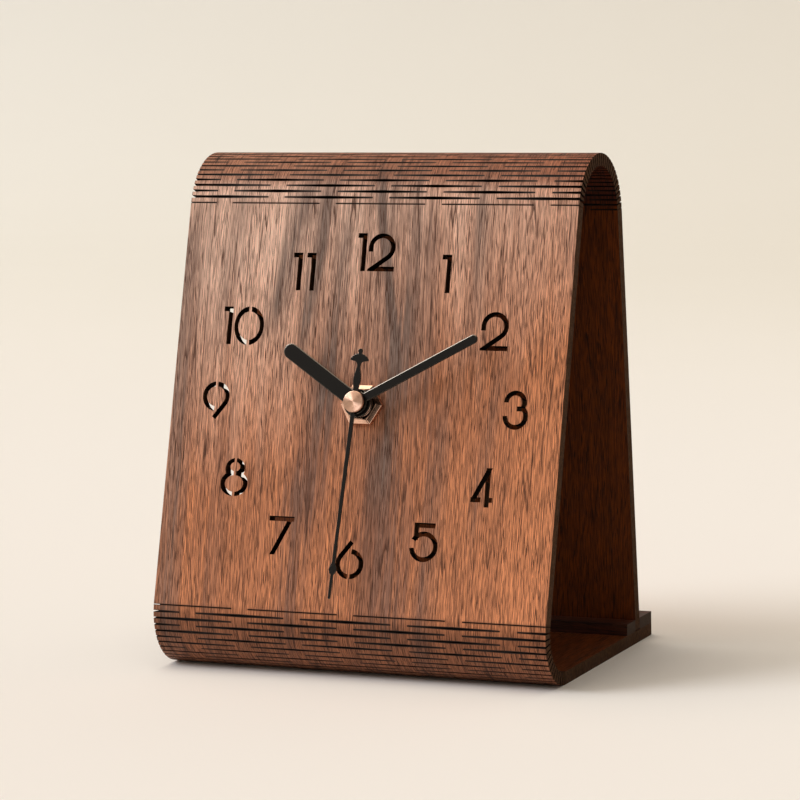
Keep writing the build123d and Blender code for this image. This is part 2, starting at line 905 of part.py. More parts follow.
with BuildPart() as front_shell:
    with BuildSketch(level(cover_front)):
        RectangleRounded(case_size, case_size, case_corner)
    extrude(amount=case_front - cover_front)
    block((0, 0), 2 * half_inside, 2 * half_inside, cover_front, case_inside, Mode.SUBTRACT)
    block((0, bay_top + bay_wall / 2), 2 * half_inside, bay_wall, cover_front, case_inside)
    rods(post_places, bridge_front, case_inside, post_diameter)
    rods(post_places, bridge_front, bridge_front + screw_length, screw_pilot, Mode.SUBTRACT)
    rods(board_holes, board_front, case_inside, board_post)
    bearing = pivot_diameter + 2 * running_clearance
    rods(pivot_places + [setting_place], case_inside, case_inside + pivot_seat, bearing, Mode.SUBTRACT)
    bore = neck_diameter + 2 * push_clearance
    rods([centre_place], case_inside, case_front + overrun, bore, Mode.SUBTRACT)
    with BuildSketch(level(case_inside)):
        RegularPolygon(neck_flange / 2 + seat_clearance, 6)
    extrude(amount=neck_flange_thickness, mode=Mode.SUBTRACT)
front_shell.part.label = "front_shell"

window_width = cell_length + cell_nub_length + 2 * seat_clearance + 2 * contact_thickness + contact_bow

with BuildPart() as rear_cover:
    with BuildSketch(level(case_rear)):
        RectangleRounded(case_size, case_size, case_corner)
    extrude(amount=case_wall)
    chamfer(rear_face(rear_cover).edges(), case_chamfer)
    low = case_rear - overrun
    high = cover_front + overrun
    cell_window = cell_diameter + 4 * seat_clearance
    block((0, cell_place_y), window_width, cell_window, low, high, Mode.SUBTRACT)
    posts([setting_place], low, high, knob_shaft + 2 * running_clearance, Mode.SUBTRACT)
rear_cover.part.label = "rear_cover"

# The bridge that carries the rear pivots
bridge_left = min(x for x, y in post_places) - bridge_margin
bridge_right = max(x for x, y in post_places + [rotor_place]) + bridge_margin
bridge_low = min(y for x, y in post_places) - bridge_margin
bridge_high = max(y for x, y in post_places + [rotor_place]) + bridge_margin
bridge_middle = ((bridge_left + bridge_right) / 2, (bridge_low + bridge_high) / 2)

with BuildPart() as train_bridge:
    block(bridge_middle, bridge_right - bridge_left, bridge_high - bridge_low, bridge_rear, bridge_front)
    low = bridge_rear - overrun
    high = bridge_front + overrun
    rods(pivot_places, low, high, pivot_diameter + 2 * running_clearance, Mode.SUBTRACT)
    rods([centre_place], low, high, second_arbor_diameter + 2 * running_clearance, Mode.SUBTRACT)
    rods([setting_place], low, high, knob_shaft + 2 * running_clearance, Mode.SUBTRACT)
    rods(post_places, low, high, screw_pilot + 2 * push_clearance, Mode.SUBTRACT)
train_bridge.part.label = "train_bridge"

with BuildPart() as bridge_screws:
    rods(post_places, bridge_rear - screw_head_height, bridge_rear, screw_head)
    screw_tip = bridge_front + screw_length - seat_clearance
    rods(post_places, bridge_rear, screw_tip, screw_pilot - 2 * push_clearance)
bridge_screws.part.label = "bridge_screws"

# The stepping motor: stator plate, coil and core
stator_middle = magnet_rear + magnet_length / 2
core_rear = stator_middle + stator_thickness / 2
core_middle = core_rear + core_thickness / 2
coil_left = coil_shift - coil_length / 2
coil_right = coil_shift + coil_length / 2
leg_left = coil_left - core_overhang / 2
leg_right = coil_right + core_overhang / 2
leg_level = rotor_place[1] + stator_ring / 2

with BuildPart() as stator:
    with BuildSketch(level(stator_middle - stator_thickness / 2)):
        with Locations(rotor_place):
            RegularPolygon(stator_ring / 2, rod_flat_count)
        with BuildLine():
            Polyline(
                (leg_left - core_overhang / 2, coil_rise + core_width / 2),
                (leg_left - core_overhang / 2, leg_level + stator_leg / 2),
                (rotor_place[0] - stator_ring / 2, leg_level - stator_leg / 2),
                (rotor_place[0], leg_level - stator_leg / 2),
                (rotor_place[0], leg_level + stator_leg / 2),
                (leg_left + core_overhang / 2, leg_level + stator_leg),
                (leg_left + core_overhang / 2, coil_rise + core_width / 2),
                close=True,
            )
        make_face()
        with BuildLine():
            Polyline(
                (leg_right + core_overhang / 2, coil_rise + core_width / 2),
                (leg_right + core_overhang / 2, leg_level - stator_leg / 2),
                (rotor_place[0], rotor_place[1]),
                (rotor_place[0], leg_level),
                (leg_right - core_overhang / 2, leg_level + stator_leg),
                (leg_right - core_overhang / 2, coil_rise + core_width / 2),
                close=True,
            )
        make_face()
        with Locations(rotor_place):
            RegularPolygon(stator_bore / 2, rod_flat_count, major_radius=False, mode=Mode.SUBTRACT)
    extrude(amount=stator_thickness)
stator.part.label = "stator"

with BuildPart() as coil_core:
    core_length = coil_length + 2 * core_overhang
    block((coil_shift, coil_rise), core_length, core_width, core_rear, core_rear + core_thickness)
coil_core.part.label = "coil_core"

coil_plane = Plane(
    origin=level(core_middle).from_local_coords((coil_left, coil_rise, 0)),
    x_dir=dial.y_dir,
    z_dir=dial.x_dir,
)

with BuildPart() as coil_bobbin:
    with BuildSketch(coil_plane):
        RegularPolygon(bobbin_diameter / 2, rod_flat_count)
    extrude(amount=coil_length)
    with BuildSketch(coil_plane, coil_plane.offset(coil_length - coil_flange_thickness)):
        Rectangle(coil_flange, coil_flange)
    extrude(amount=coil_flange_thickness)
    with BuildSketch(coil_plane):
        Rectangle(core_width + 2 * push_clearance, core_thickness + 2 * push_clearance)
    extrude(amount=coil_length, mode=Mode.SUBTRACT)
coil_bobbin.part.label = "coil_bobbin"

with BuildPart() as coil_winding:
    with BuildSketch(coil_plane.offset(coil_flange_thickness + push_clearance)):
        RegularPolygon(coil_diameter / 2, 2 * rod_flat_count)
        RegularPolygon(bobbin_diameter / 2 + push_clearance, rod_flat_count, mode=Mode.SUBTRACT)
    extrude(amount=coil_length - 2 * coil_flange_thickness - 2 * push_clearance)
coil_winding.part.label = "coil_winding"

# Circuit board with its crystal and its covered chip
with BuildPart() as circuit_board:
    block(board_place, board_width, board_height, board_rear, board_front)
circuit_board.part.label = "circuit_board"

crystal_plane = Plane(
    origin=level(board_rear - crystal_diameter / 2).from_local_coords(
        (board_place[0], board_place[1] + board_height / 2 - crystal_length - board_edge_gap, 0)
    ),
    x_dir=dial.x_dir,
    z_dir=dial.y_dir,
)

with BuildPart() as quartz_crystal:
    with BuildSketch(crystal_plane):
        RegularPolygon(crystal_diameter / 2, rod_flat_count)
    extrude(amount=crystal_length)
quartz_crystal.part.label = "quartz_crystal"

with BuildPart() as chip_cover:
    chip_place = (board_place[0], board_place[1] - board_height / 5)
    rods([chip_place], board_rear - chip_height, board_rear, chip_diameter)
chip_cover.part.label = "chip_cover"

# Battery cell, its plane at the flat end, and the two contacts
cell_height = case_inside - seat_clearance - cell_diameter / 2
cell_left = -(cell_length + cell_nub_length) / 2
cell_plane = Plane(
    origin=level(cell_height).from_local_coords((cell_left, cell_place_y, 0)),
    x_dir=dial.y_dir,
    z_dir=dial.x_dir,
)

with BuildPart() as battery_cell:
    with BuildSketch(cell_plane):
        Circle(cell_diameter / 2)
    extrude(amount=cell_length)
    with BuildSketch(cell_plane.offset(cell_length)):
        RegularPolygon(cell_nub_diameter / 2, rod_flat_count)
    extrude(amount=cell_nub_length)
battery_cell.part.label = "battery_cell"

contact_low = cell_place_y - contact_width / 2
contact_high = bay_top + bay_wall + contact_width / 2
contact_rear = cell_height - contact_width / 2
contact_right = cell_left + cell_length + cell_nub_length + seat_clearance

with BuildPart() as contact_positive:
    with BuildSketch(level(contact_rear)):
        with Locations((contact_right + contact_thickness / 2, cell_place_y)):
            Rectangle(contact_thickness, contact_width)
    extrude(amount=contact_width)
contact_positive.part.label = "contact_positive"

contact_left = cell_left - seat_clearance

with BuildPart() as contact_negative:
    with BuildSketch(level(contact_rear)):
        with BuildLine() as bow:
            ThreePointArc(
                (contact_left - contact_bow, contact_low),
                (contact_left - contact_thickness / 2, cell_place_y),
                (contact_left - contact_bow, contact_low + contact_width),
            )
        trace(line_width=contact_thickness)
    extrude(amount=contact_width)
contact_negative.part.label = "contact_negative"


# Hands, each drawn pointing up its own plane, which is turned to the time shown


def hand_plane(height, clock_angle):
    """A plane over the dial whose y axis points along a hand."""
    sideways = dial.x_dir.rotate(dial_axis, -clock_angle)
    return Plane(origin=level(height).origin, x_dir=sideways, z_dir=dial.z_dir)


def baton(height, clock_angle, reach, width, hub, thickness):
    """A flat hand of even width with a round end and a round hub."""
    with BuildSketch(hand_plane(height, clock_angle)) as section:
        with Locations((0, (reach - width / 2) / 2)):
            Rectangle(width, reach - width / 2)
        with Locations((0, reach - width / 2)):
            Circle(width / 2)
        Circle(hub / 2)
    extrude(section.sketch, amount=thickness)


with BuildPart() as hour_hand:
    baton(hour_height, hour_angle, hour_reach, hour_width, hour_hub, hour_thickness)
    rods([centre_place], hour_height - collar_length, hour_height, hour_collar)
    bore = hour_pipe_diameter + 2 * push_clearance
    rods([centre_place], hour_height - collar_length - overrun, hour_top + overrun, bore, Mode.SUBTRACT)
hour_hand.part.label = "hour_hand"

with BuildPart() as minute_hand:
    baton(minute_height, minute_angle, minute_reach, minute_width, minute_hub, minute_thickness)
    rods([centre_place], minute_height - collar_length, minute_height, minute_collar)
    bore = minute_tube_diameter + 2 * push_clearance
    rods([centre_place], minute_height - collar_length - overrun, minute_top + overrun, bore, Mode.SUBTRACT)
minute_hand.part.label = "minute_hand"

finial_middle = -finial_distance + finial_diameter / 2


def crescent_point(share, start, finish):
    """A point that the crescent's edge passes on its way between two distances down the tail."""
    return (crescent_width * share[0], -start - (finish - start) * share[1])


with BuildPart() as second_hand:
    with BuildSketch(hand_plane(second_height, second_angle)):
        with BuildLine():
            Polyline(
                (0, 0),
                (second_root_width / 2, 0),
                (second_tip_width / 2, second_reach - second_tip_width / 2),
                (0, second_reach),
                close=True,
            )
        make_face()
        with BuildLine():
            ThreePointArc(
                (0, lozenge_distance - lozenge_length * lozenge_foot_share),
                (lozenge_width / 2, lozenge_distance),
                (0, lozenge_distance + lozenge_length / 2),
            )
            Line(
                (0, lozenge_distance + lozenge_length / 2),
                (0, lozenge_distance - lozenge_length * lozenge_foot_share),
            )
        make_face()
        with BuildLine():
            Polyline((0, 0), (second_root_width / 2, 0), (second_root_width / 2, -second_hub / 2))
            ThreePointArc(
                (second_root_width / 2, -second_hub / 2),
                (tail_bulge_width / 2, -tail_bulge_distance),
                (tail_neck_width / 2, -tail_neck_distance),
            )
            Line((tail_neck_width / 2, -tail_neck_distance), (tail_neck_width / 2, -crescent_root))
            ThreePointArc(
                (tail_neck_width / 2, -crescent_root),
                crescent_point(crescent_under_share, crescent_root, crescent_tip),
                (crescent_width / 2, -crescent_tip),
            )
            ThreePointArc(
                (crescent_width / 2, -crescent_tip),
                crescent_point(crescent_over_share, crescent_tip, crescent_shoulder),
                (finial_neck_width / 2, -crescent_shoulder),
            )
            Polyline(
                (finial_neck_width / 2, -crescent_shoulder),
                (finial_neck_width / 2, finial_middle),
                (0, finial_middle),
                (0, 0),
            )
        make_face()
        mirror(about=Plane.YZ)
        Circle(second_hub / 2)
        with Locations((0, finial_middle)):
            Circle(finial_diameter / 2)
    extrude(amount=second_thickness)
    rods([centre_place], second_height - collar_length, second_height, second_collar)
    bore = second_arbor_diameter + 2 * push_clearance
    rods([centre_place], second_height - collar_length - overrun, second_top + overrun, bore, Mode.SUBTRACT)
second_hand.part.label = "second_hand"

# The cap: a turned disc, faintly coned, over the end of the second arbor
cap_plane = Plane(origin=dial.origin, x_dir=dial.x_dir, z_dir=-dial.y_dir)
cap_foot = second_top
cap_top = cap_foot + cap_height

with BuildPart() as hand_cap:
    with BuildSketch(cap_plane):
        with BuildLine():
            Polyline(
                (0, cap_foot),
                (cap_diameter / 2, cap_foot),
                (cap_diameter / 2, cap_top - cap_edge),
                (cap_diameter / 2 - cap_edge, cap_top),
                (0, cap_top + cap_cone),
                close=True,
            )
        make_face()
    revolve(axis=dial_axis)
hand_cap.part.label = "hand_cap"

pieces = [
    bent_sheet,
    foot_strip_front,
    foot_strip_rear,
    threaded_neck,
    hex_nut,
    rubber_gasket,
    front_shell,
    rear_cover,
    train_bridge,
    bridge_screws,
    rotor_pinion,
    rotor_magnet,
    intermediate_wheel,
    second_wheel,
    second_arbor,
    third_wheel,
    centre_wheel,
    minute_tube,
    motion_wheel,
    hour_wheel,
    setting_knob,
    stator,
    coil_core,
    coil_bobbin,
    coil_winding,
    circuit_board,
    quartz_crystal,
    chip_cover,
    battery_cell,
    contact_positive,
    contact_negative,
    hour_hand,
    minute_hand,
    second_hand,
    hand_cap,
]

os.makedirs("parts", exist_ok=True)
for piece in pieces:
    export_step(piece.part, f"parts/{piece.part.label}.step")
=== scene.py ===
import json
from functools import partial
from math import asin, cos, hypot, pi, radians, sin

import bmesh
import bpy
from mathutils import Matrix, Vector


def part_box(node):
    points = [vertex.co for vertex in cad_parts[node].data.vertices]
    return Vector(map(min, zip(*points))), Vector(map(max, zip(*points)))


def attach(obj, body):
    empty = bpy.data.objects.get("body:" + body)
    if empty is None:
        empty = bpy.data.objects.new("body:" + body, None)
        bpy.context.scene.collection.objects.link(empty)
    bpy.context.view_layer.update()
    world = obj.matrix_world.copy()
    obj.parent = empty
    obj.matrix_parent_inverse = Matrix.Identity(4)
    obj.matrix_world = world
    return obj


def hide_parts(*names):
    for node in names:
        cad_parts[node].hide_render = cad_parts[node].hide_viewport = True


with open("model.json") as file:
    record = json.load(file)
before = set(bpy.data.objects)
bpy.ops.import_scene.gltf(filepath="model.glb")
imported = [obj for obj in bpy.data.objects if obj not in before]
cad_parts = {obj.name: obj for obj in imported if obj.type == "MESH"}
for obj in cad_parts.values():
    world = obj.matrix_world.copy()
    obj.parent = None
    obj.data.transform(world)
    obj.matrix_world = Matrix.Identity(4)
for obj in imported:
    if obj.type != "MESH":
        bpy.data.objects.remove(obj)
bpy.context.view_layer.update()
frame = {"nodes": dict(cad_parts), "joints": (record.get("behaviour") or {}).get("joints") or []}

bl_info = {
    "name": "Folded walnut desk clock",
    "version": (1, 0, 0),
    "blender": (4, 5, 0),
    "location": "View3D > Sidebar > Clock",
    "description": "Finishes and fine pieces for a desk clock folded from one kerfed walnut sheet",
    "category": "Object",
}

MM = 0.001
SMOOTH = {"interpolation_type": "SMOOTHSTEP"}

# The dial's own frame, from the hands' joint: x to the right, y up the panel, z out of it
hand_joint = next(joint for joint in frame["joints"] if joint["child"] == "second")
dial_right = Vector((1, 0, 0))
dial_out = -Vector(hand_joint["axis"])
dial_axes = Matrix((dial_right, dial_out.cross(dial_right), dial_out)).transposed()
dial_frame = Matrix.Translation(Vector(hand_joint["pos_m"])) @ dial_axes.to_4x4()


def linear(code):
    """The linear colour of an sRGB hex code."""
    shares = [int(code[start : start + 2], 16) / 255 for start in (1, 3, 5)]
    return tuple(share / 12.92 if share <= 0.04045 else ((share + 0.055) / 1.055) ** 2.4 for share in shares)


def length(name, description, millimetres):
    """A length that the panel shows, given in millimetres."""
    size = millimetres * MM
    return bpy.props.FloatProperty(name=name, description=description, default=size, unit="LENGTH")


def lean(name, description, degrees):
    """An angle that the panel shows, given in degrees."""
    angle = radians(degrees)
    return bpy.props.FloatProperty(name=name, description=description, default=angle, subtype="ANGLE")


def colour(name, description, code):
    """A colour that the panel shows, given as an sRGB hex code."""
    return bpy.props.FloatVectorProperty(
        name=name, description=description, default=linear(code), subtype="COLOR", min=0, max=1
    )


class ClockSheetSizes(bpy.types.PropertyGroup):
    """Sizes of the folded sheet that its grain and scorch marks follow."""

    panel_length: length("Panel length", "Flat of the front panel, from fold to fold", 126.3)
    panel_lean: lean("Panel lean", "Backward lean of the front panel", 15.4)
    back_lean: lean("Back lean", "Forward lean of the back panel", 5.5)
    arch_radius: length("Arch radius", "Outer radius of the top bend", 20.1)
    foot_radius: length("Foot radius", "Outer radius of the front foot's bend", 17.1)
    foot_run: length("Foot run", "From the origin forward to the front bend's middle", 40.5)
    thickness: length("Thickness", "Thickness of the sheet", 4.0)
    kerf_length: length("Kerf length", "Length of one saw line", 30.0)
    kerf_link: length("Kerf link", "Wood left between two kerfs of a row", 5.5)
    arch_strips: bpy.props.IntProperty(name="Arch strips", description="Strips around the arch", default=28)
    foot_strips: bpy.props.IntProperty(name="Foot strips", description="Strips around the foot", default=15)


class ClockHandSizes(bpy.types.PropertyGroup):
    """Sizes of the hands, the cap and the nut."""

    hour_reach: length("Hour reach", "From the arbor to the hour hand's tip", 30.6)
    hour_width: length("Hour width", "Width of the hour hand", 4.8)
    minute_reach: length("Minute reach", "From the arbor to the minute hand's tip", 43.4)
    minute_width: length("Minute width", "Width of the minute hand", 2.75)
    second_reach: length("Second reach", "From the arbor to the second hand's tip", 60.5)
    cap_diameter: length("Cap", "Diameter of the turned cap", 6.6)
    nut_flats: length("Nut", "Width of the hexagon nut across its flats", 12.0)


class ClockColours(bpy.types.PropertyGroup):
    """Colours of the wood, the metals and the stage."""

    walnut_orange: colour("Orange walnut", "Body of the veneer at the panel's foot", "#D1875D")
    # The pink walnut is the veneer's tone with a painted sheen of the key light laid over it
    walnut_pink_with_sheen: colour("Pink walnut", "Body of the veneer at the panel's head", "#F4C9B3")
    walnut_brown: colour("Brown walnut", "Darker bands of the veneer", "#93614A")
    walnut_grey: colour("Grey walnut", "Greyish bands of the veneer", "#7D6A61")
    walnut_dark: colour("Dark walnut", "Pores and late growth lines", "#4A2A1C")
    scorch: colour("Scorch", "Walls cut by the laser", "#1A0E08")
    edge_brown: colour("Sheet edge", "Scorched side edges of the sheet", "#5A3F2C")
    brass: colour("Brass", "Turned brass with a rosy tint", "#F2C5AC")
    black_paint: colour("Black paint", "Paint on the hands", "#141211")
    floor_cream: colour("Cream paper", "Floor and backdrop", "#F4F1EF")


def add_node(tree, kind, inputs=(), output=0, **settings):
    """Adds a shader node with its settings and what its inputs hold or are linked to; gives one output.

    kind is the node's type without its first word, ShaderNode, then a point and its operation if it
    has one, or what it mixes. A colour is a hex code or three linear numbers. A MapRange takes its
    value, the low and high that come in, and the low and high that go out, which are else 0 and 1. A
    Mix takes its share, nothing, and the values from and to; for colours, inputs 0, 6 and 7 give
    output 2.
    """
    kind, _, operation = kind.partition(".")
    node = tree.nodes.new("ShaderNode" + kind)
    if operation:
        setattr(node, "data_type" if kind == "Mix" else "operation", operation)
    for name, value in settings.items():
        setattr(node, name, value)
    for place, value in inputs.items() if isinstance(inputs, dict) else enumerate(inputs):
        socket = node.inputs[place]
        if isinstance(value, bpy.types.NodeSocket):
            tree.links.new(value, socket)
        elif value is not None:
            value = linear(value) if isinstance(value, str) else value
            socket.default_value = (*value, 1.0) if socket.type == "RGBA" else value
    return node.outputs[output] if node.outputs else None


def new_material(name):
    """An empty material, and the function that adds nodes to its tree."""
    made = bpy.data.materials.new(name)
    made.use_nodes = True
    made.node_tree.nodes.clear()
    return made, partial(add_node, made.node_tree)


def surface(add, sockets):
    """Ends a material in one principled surface with these sockets."""
    shader = add("BsdfPrincipled", sockets)
    add("OutputMaterial", {"Surface": shader})


def object_millimetres(add):
    """The point in the object's own frame, in millimetres."""
    place = add("TexCoord", output="Object")
    return add("VectorMath.SCALE", {0: place, "Scale": 1 / MM})


def end_face(add):
    """1 where the face looks along x, as the ends of the sheet and the strips do, and 0 elsewhere."""
    normal = add("NewGeometry", output="True Normal")
    along = add("SeparateXYZ", (normal,), "X")
    return add("Math.GREATER_THAN", (add("Math.ABSOLUTE", (along,)), 0.9))


def sheet_lay(add, sizes):
    """How the bent sheet lies at a point, in millimetres and radians.

    Gives the place across it and the run along it from the panel's foot, and the shares of cut wall,
    inner skin, end grain, saw line, smoke beside a saw line, and painted shade on the arch and on the foot.
    """
    panel_facing = pi - sizes.panel_lean
    back_facing = sizes.back_lean
    base_facing = 1.5 * pi
    arch_radius = sizes.arch_radius / MM
    foot_radius = sizes.foot_radius / MM
    panel_length = sizes.panel_length / MM
    out = (cos(panel_facing), sin(panel_facing))
    up = (cos(panel_facing - pi / 2), sin(panel_facing - pi / 2))
    foot_middle = (-sizes.foot_run / MM, foot_radius)
    panel_foot = [foot_middle[k] + foot_radius * out[k] for k in (0, 1)]
    arch_middle = [panel_foot[k] + panel_length * up[k] - arch_radius * out[k] for k in (0, 1)]
    arch_turn = panel_facing - back_facing
    foot_turn = base_facing - panel_facing
    arch_step = arch_turn / sizes.arch_strips
    foot_step = foot_turn / sizes.foot_strips
    arch_end = panel_length + arch_radius * arch_turn
    back_head = arch_middle[1] + arch_radius * sin(back_facing)
    place = object_millimetres(add)
    across, back, height = [add("SeparateXYZ", (place,), axis) for axis in "XYZ"]

    # Angles about the middles of the arch and of the foot, from straight back, turning up
    angles = []
    for middle_back, middle_height in (arch_middle, foot_middle):
        backward = add("Math.SUBTRACT", (back, middle_back))
        upward = add("Math.SUBTRACT", (height, middle_height))
        angles.append(add("Math.ARCTAN2", (upward, backward)))
    arch_angle, foot_angle = angles
    below = add("Math.GREATER_THAN", (0.0, foot_angle))
    foot_angle = add("Math.MULTIPLY_ADD", (below, 2 * pi, foot_angle))

    # Every region but the panel: its tests, each a greater and a lesser value; its run, as a measure,
    # a slope and a start; and the way that its outer skin faces
    slack = radians(0.6)
    above_base = sizes.thickness / MM + 0.15
    layout = {
        "arch": (
            ((arch_angle, back_facing - slack), (panel_facing + slack, arch_angle)),
            (arch_angle, -arch_radius, panel_length + arch_radius * panel_facing),
            arch_angle,
        ),
        "foot": (
            ((foot_angle, panel_facing), (base_facing + slack, foot_angle)),
            (foot_angle, -foot_radius, foot_radius * panel_facing),
            foot_angle,
        ),
        "base": (
            ((foot_angle, base_facing + slack), (above_base, height)),
            (back, -1.0, foot_middle[0] - foot_radius * foot_turn),
            base_facing,
        ),
        "back": (
            ((back, 0.0), (height, above_base), (back_facing - slack, arch_angle)),
            (height, -1 / cos(back_facing), arch_end + back_head / cos(back_facing)),
            back_facing,
        ),
    }
    run = add("Math.MULTIPLY_ADD", (back, up[0], -panel_foot[0] * up[0] - panel_foot[1] * up[1]))
    run = add("Math.MULTIPLY_ADD", (height, up[1], run))
    facing = panel_facing
    regions = {}
    for name, (tests, line, region_facing) in layout.items():
        region = 1.0
        for test in tests:
            region = add("Math.MULTIPLY", (region, add("Math.GREATER_THAN", test)))
        run = add("Mix", (region, None, run, add("Math.MULTIPLY_ADD", line)))
        facing = add("Mix", (region, None, facing, region_facing))
        regions[name] = region
    skin_back = add("Math.COSINE", (facing,))
    skin_up = add("Math.SINE", (facing,))
    outward = add("CombineXYZ", (0.0, skin_back, skin_up))
    normal = add("NewGeometry", output="True Normal")
    side = add("VectorMath.DOT_PRODUCT", (normal, outward), "Value")
    flatness = add("Math.ABSOLUTE", (side,))
    lay = {
        "across": across,
        "run": run,
        "cut": add("MapRange", (flatness, 0.35, 0.6, 1.0, 0.0)),
        "inside": add("Math.LESS_THAN", (side, -0.5)),
        "end_grain": end_face(add),
    }

    # Rows of saw lines lie whole numbers of steps from the panel; even rows have a kerf at x = 0
    on_foot = regions["foot"]
    arch_steps = add("Math.MULTIPLY_ADD", (arch_angle, -1 / arch_step, panel_facing / arch_step))
    foot_steps = add("Math.MULTIPLY_ADD", (foot_angle, 1 / foot_step, 0.5 - panel_facing / foot_step))
    steps = add("Mix", (on_foot, None, arch_steps, foot_steps))
    row = add("Math.ROUND", (steps,))
    row_pitch = add("Mix", (on_foot, None, arch_radius * arch_step, foot_radius * foot_step))
    steps_off = add("Math.PINGPONG", (steps, 0.5))
    row_distance = add("Math.MULTIPLY", (steps_off, row_pitch))
    kerf_pitch = (sizes.kerf_length + sizes.kerf_link) / MM
    half_kerf = sizes.kerf_length / MM / 2
    odd = add("Math.FLOORED_MODULO", (row, 2.0))
    shifted = add("Math.MULTIPLY_ADD", (odd, kerf_pitch / 2, across))
    along_kerf = add("Math.PINGPONG", (shifted, kerf_pitch / 2))
    in_kerf = add("Math.GREATER_THAN", (half_kerf, along_kerf))
    near_kerf = add("MapRange", (along_kerf, half_kerf - 1, half_kerf + 1, 1.0, 0.0))
    # The bend opens every row but the one next to the flat, most in the middle of a kerf
    arch_open = add("MapRange", (row, 0.0, 1.0))
    foot_open = add("MapRange", (row, 1.0, 2.0))
    foot_fade = add("MapRange", (row, 5.0, 8.0, 1.0, 0.35))
    foot_open = add("Math.MULTIPLY", (foot_open, foot_fade))
    opened = add("Mix", (on_foot, None, arch_open, foot_open))
    swell = add("MapRange", (along_kerf, 0.0, half_kerf, 0.3, 0.04))
    line_width = add("Math.MULTIPLY_ADD", (opened, swell, 0.17))
    line_edge = add("Math.ADD", (line_width, 0.07))
    at_line = add("MapRange", (row_distance, line_width, line_edge, 1.0, 0.0))
    near_line = add("MapRange", (row_distance, 0.18, 0.6, 0.5, 0.0))
    bent = add("Math.MAXIMUM", (regions["arch"], on_foot))
    # Painted shade darkens the strips once the bend is well under way, round the arch and the foot
    arch_rise = add("MapRange", (run, panel_length + 2, panel_length + 11), **SMOOTH)
    arch_fade = add("MapRange", (run, arch_end - 4, arch_end, 1.0, 0.0))
    foot_rise = add("MapRange", (run, 1.5, -7.0), **SMOOTH)
    for name, shares in (
        ("saw_line", (in_kerf, at_line, bent)),
        ("smoke", (near_kerf, near_line, bent)),
        ("arch_stain", (arch_rise, arch_fade, regions["arch"])),
        ("foot_stain", (foot_rise, on_foot)),
    ):
        lay[name] = 1.0
        for share in shares:
            lay[name] = add("Math.MULTIPLY", (lay[name], share))
    return lay


# Figure that runs up the panel: its head and foot (across, run) and half width in millimetres, and
# how grey and how dark it is (less than nothing is lighter than the wood about it)
panel_figure = (
    ((-24, 130), (-33, 88), 4.0, 0.85, 0.15),
    ((-17, 128), (-21, 84), 2.2, 0.95, 0.35),
    ((-11, 116), (-14, 60), 2.6, 0.75, 0.30),
    ((-1, 134), (9, 80), 1.3, 1.0, 0.85),
    ((3, 134), (5, 70), 5.5, 0.45, 0.25),
    ((10, 90), (7, 40), 3.0, 0.6, 0.6),
    # This darkest streak, right of the second hand below the dial's middle, is partly painted shadow of the
    # second hand over darker grain
    ((8, 45), (12, -4), 6.5, 0.3, 0.95),
    ((-10, 84), (-17, 30), 5.5, 0.25, 0.65),
    ((-18, 40), (-20, -6), 4.0, 0.2, 0.5),
    ((18, 122), (16, 60), 4.5, 0.4, 0.35),
    ((26, 60), (24, -14), 3.0, 0.3, 0.45),
    ((-62, 118), (-61, -10), 3.0, 0.55, 0.35),
    ((-47, 128), (-50, 86), 3.0, 0.4, 0.10),
    ((35, 128), (33, 84), 2.5, 0.4, 0.2),
    ((-44, 62), (-47, -12), 2.5, 0.15, 0.35),
    ((44, 74), (40, 30), 2.0, 0.25, 0.25),
    ((60, 96), (57, -10), 7.0, -0.2, -0.4),
    ((-34, 126), (-38, 60), 6.0, -0.3, -0.3),
    ((24, 128), (30, 96), 3.5, -0.2, -0.2),
)

# The veneer's noises in streaks: width and reach in millimetres, detail, seed and roughness
grain_streaks = {
    "warmth": (9, 60, 2.0, 7.0, 0.55),
    "broad": (7, 90, 3.0, 11.0, 0.55),
    "narrow": (0.8, 40, 3.0, 19.0, 0.65),
    "grey": (3.2, 55, 3.0, 29.0, 0.6),
    "swing": (10, 60, 2.0, 41.0, 0.55),
    "gaps": (1.0, 8, 3.0, 57.0, 0.6),
    "pores": (0.13, 1.6, 1.0, 71.0, 0.4),
    "crowd": (1.0, 22, 3.0, 101.0, 0.6),
    "fibres": (0.16, 6, 2.0, 83.0, 0.7),
}

# The inner skin's noises are taken this far from the outer skin's
inner_skin_seed = 37.0
# The run at which the sheet comes as far down the back panel as its start is down the front one
mirrored_run = 252.0


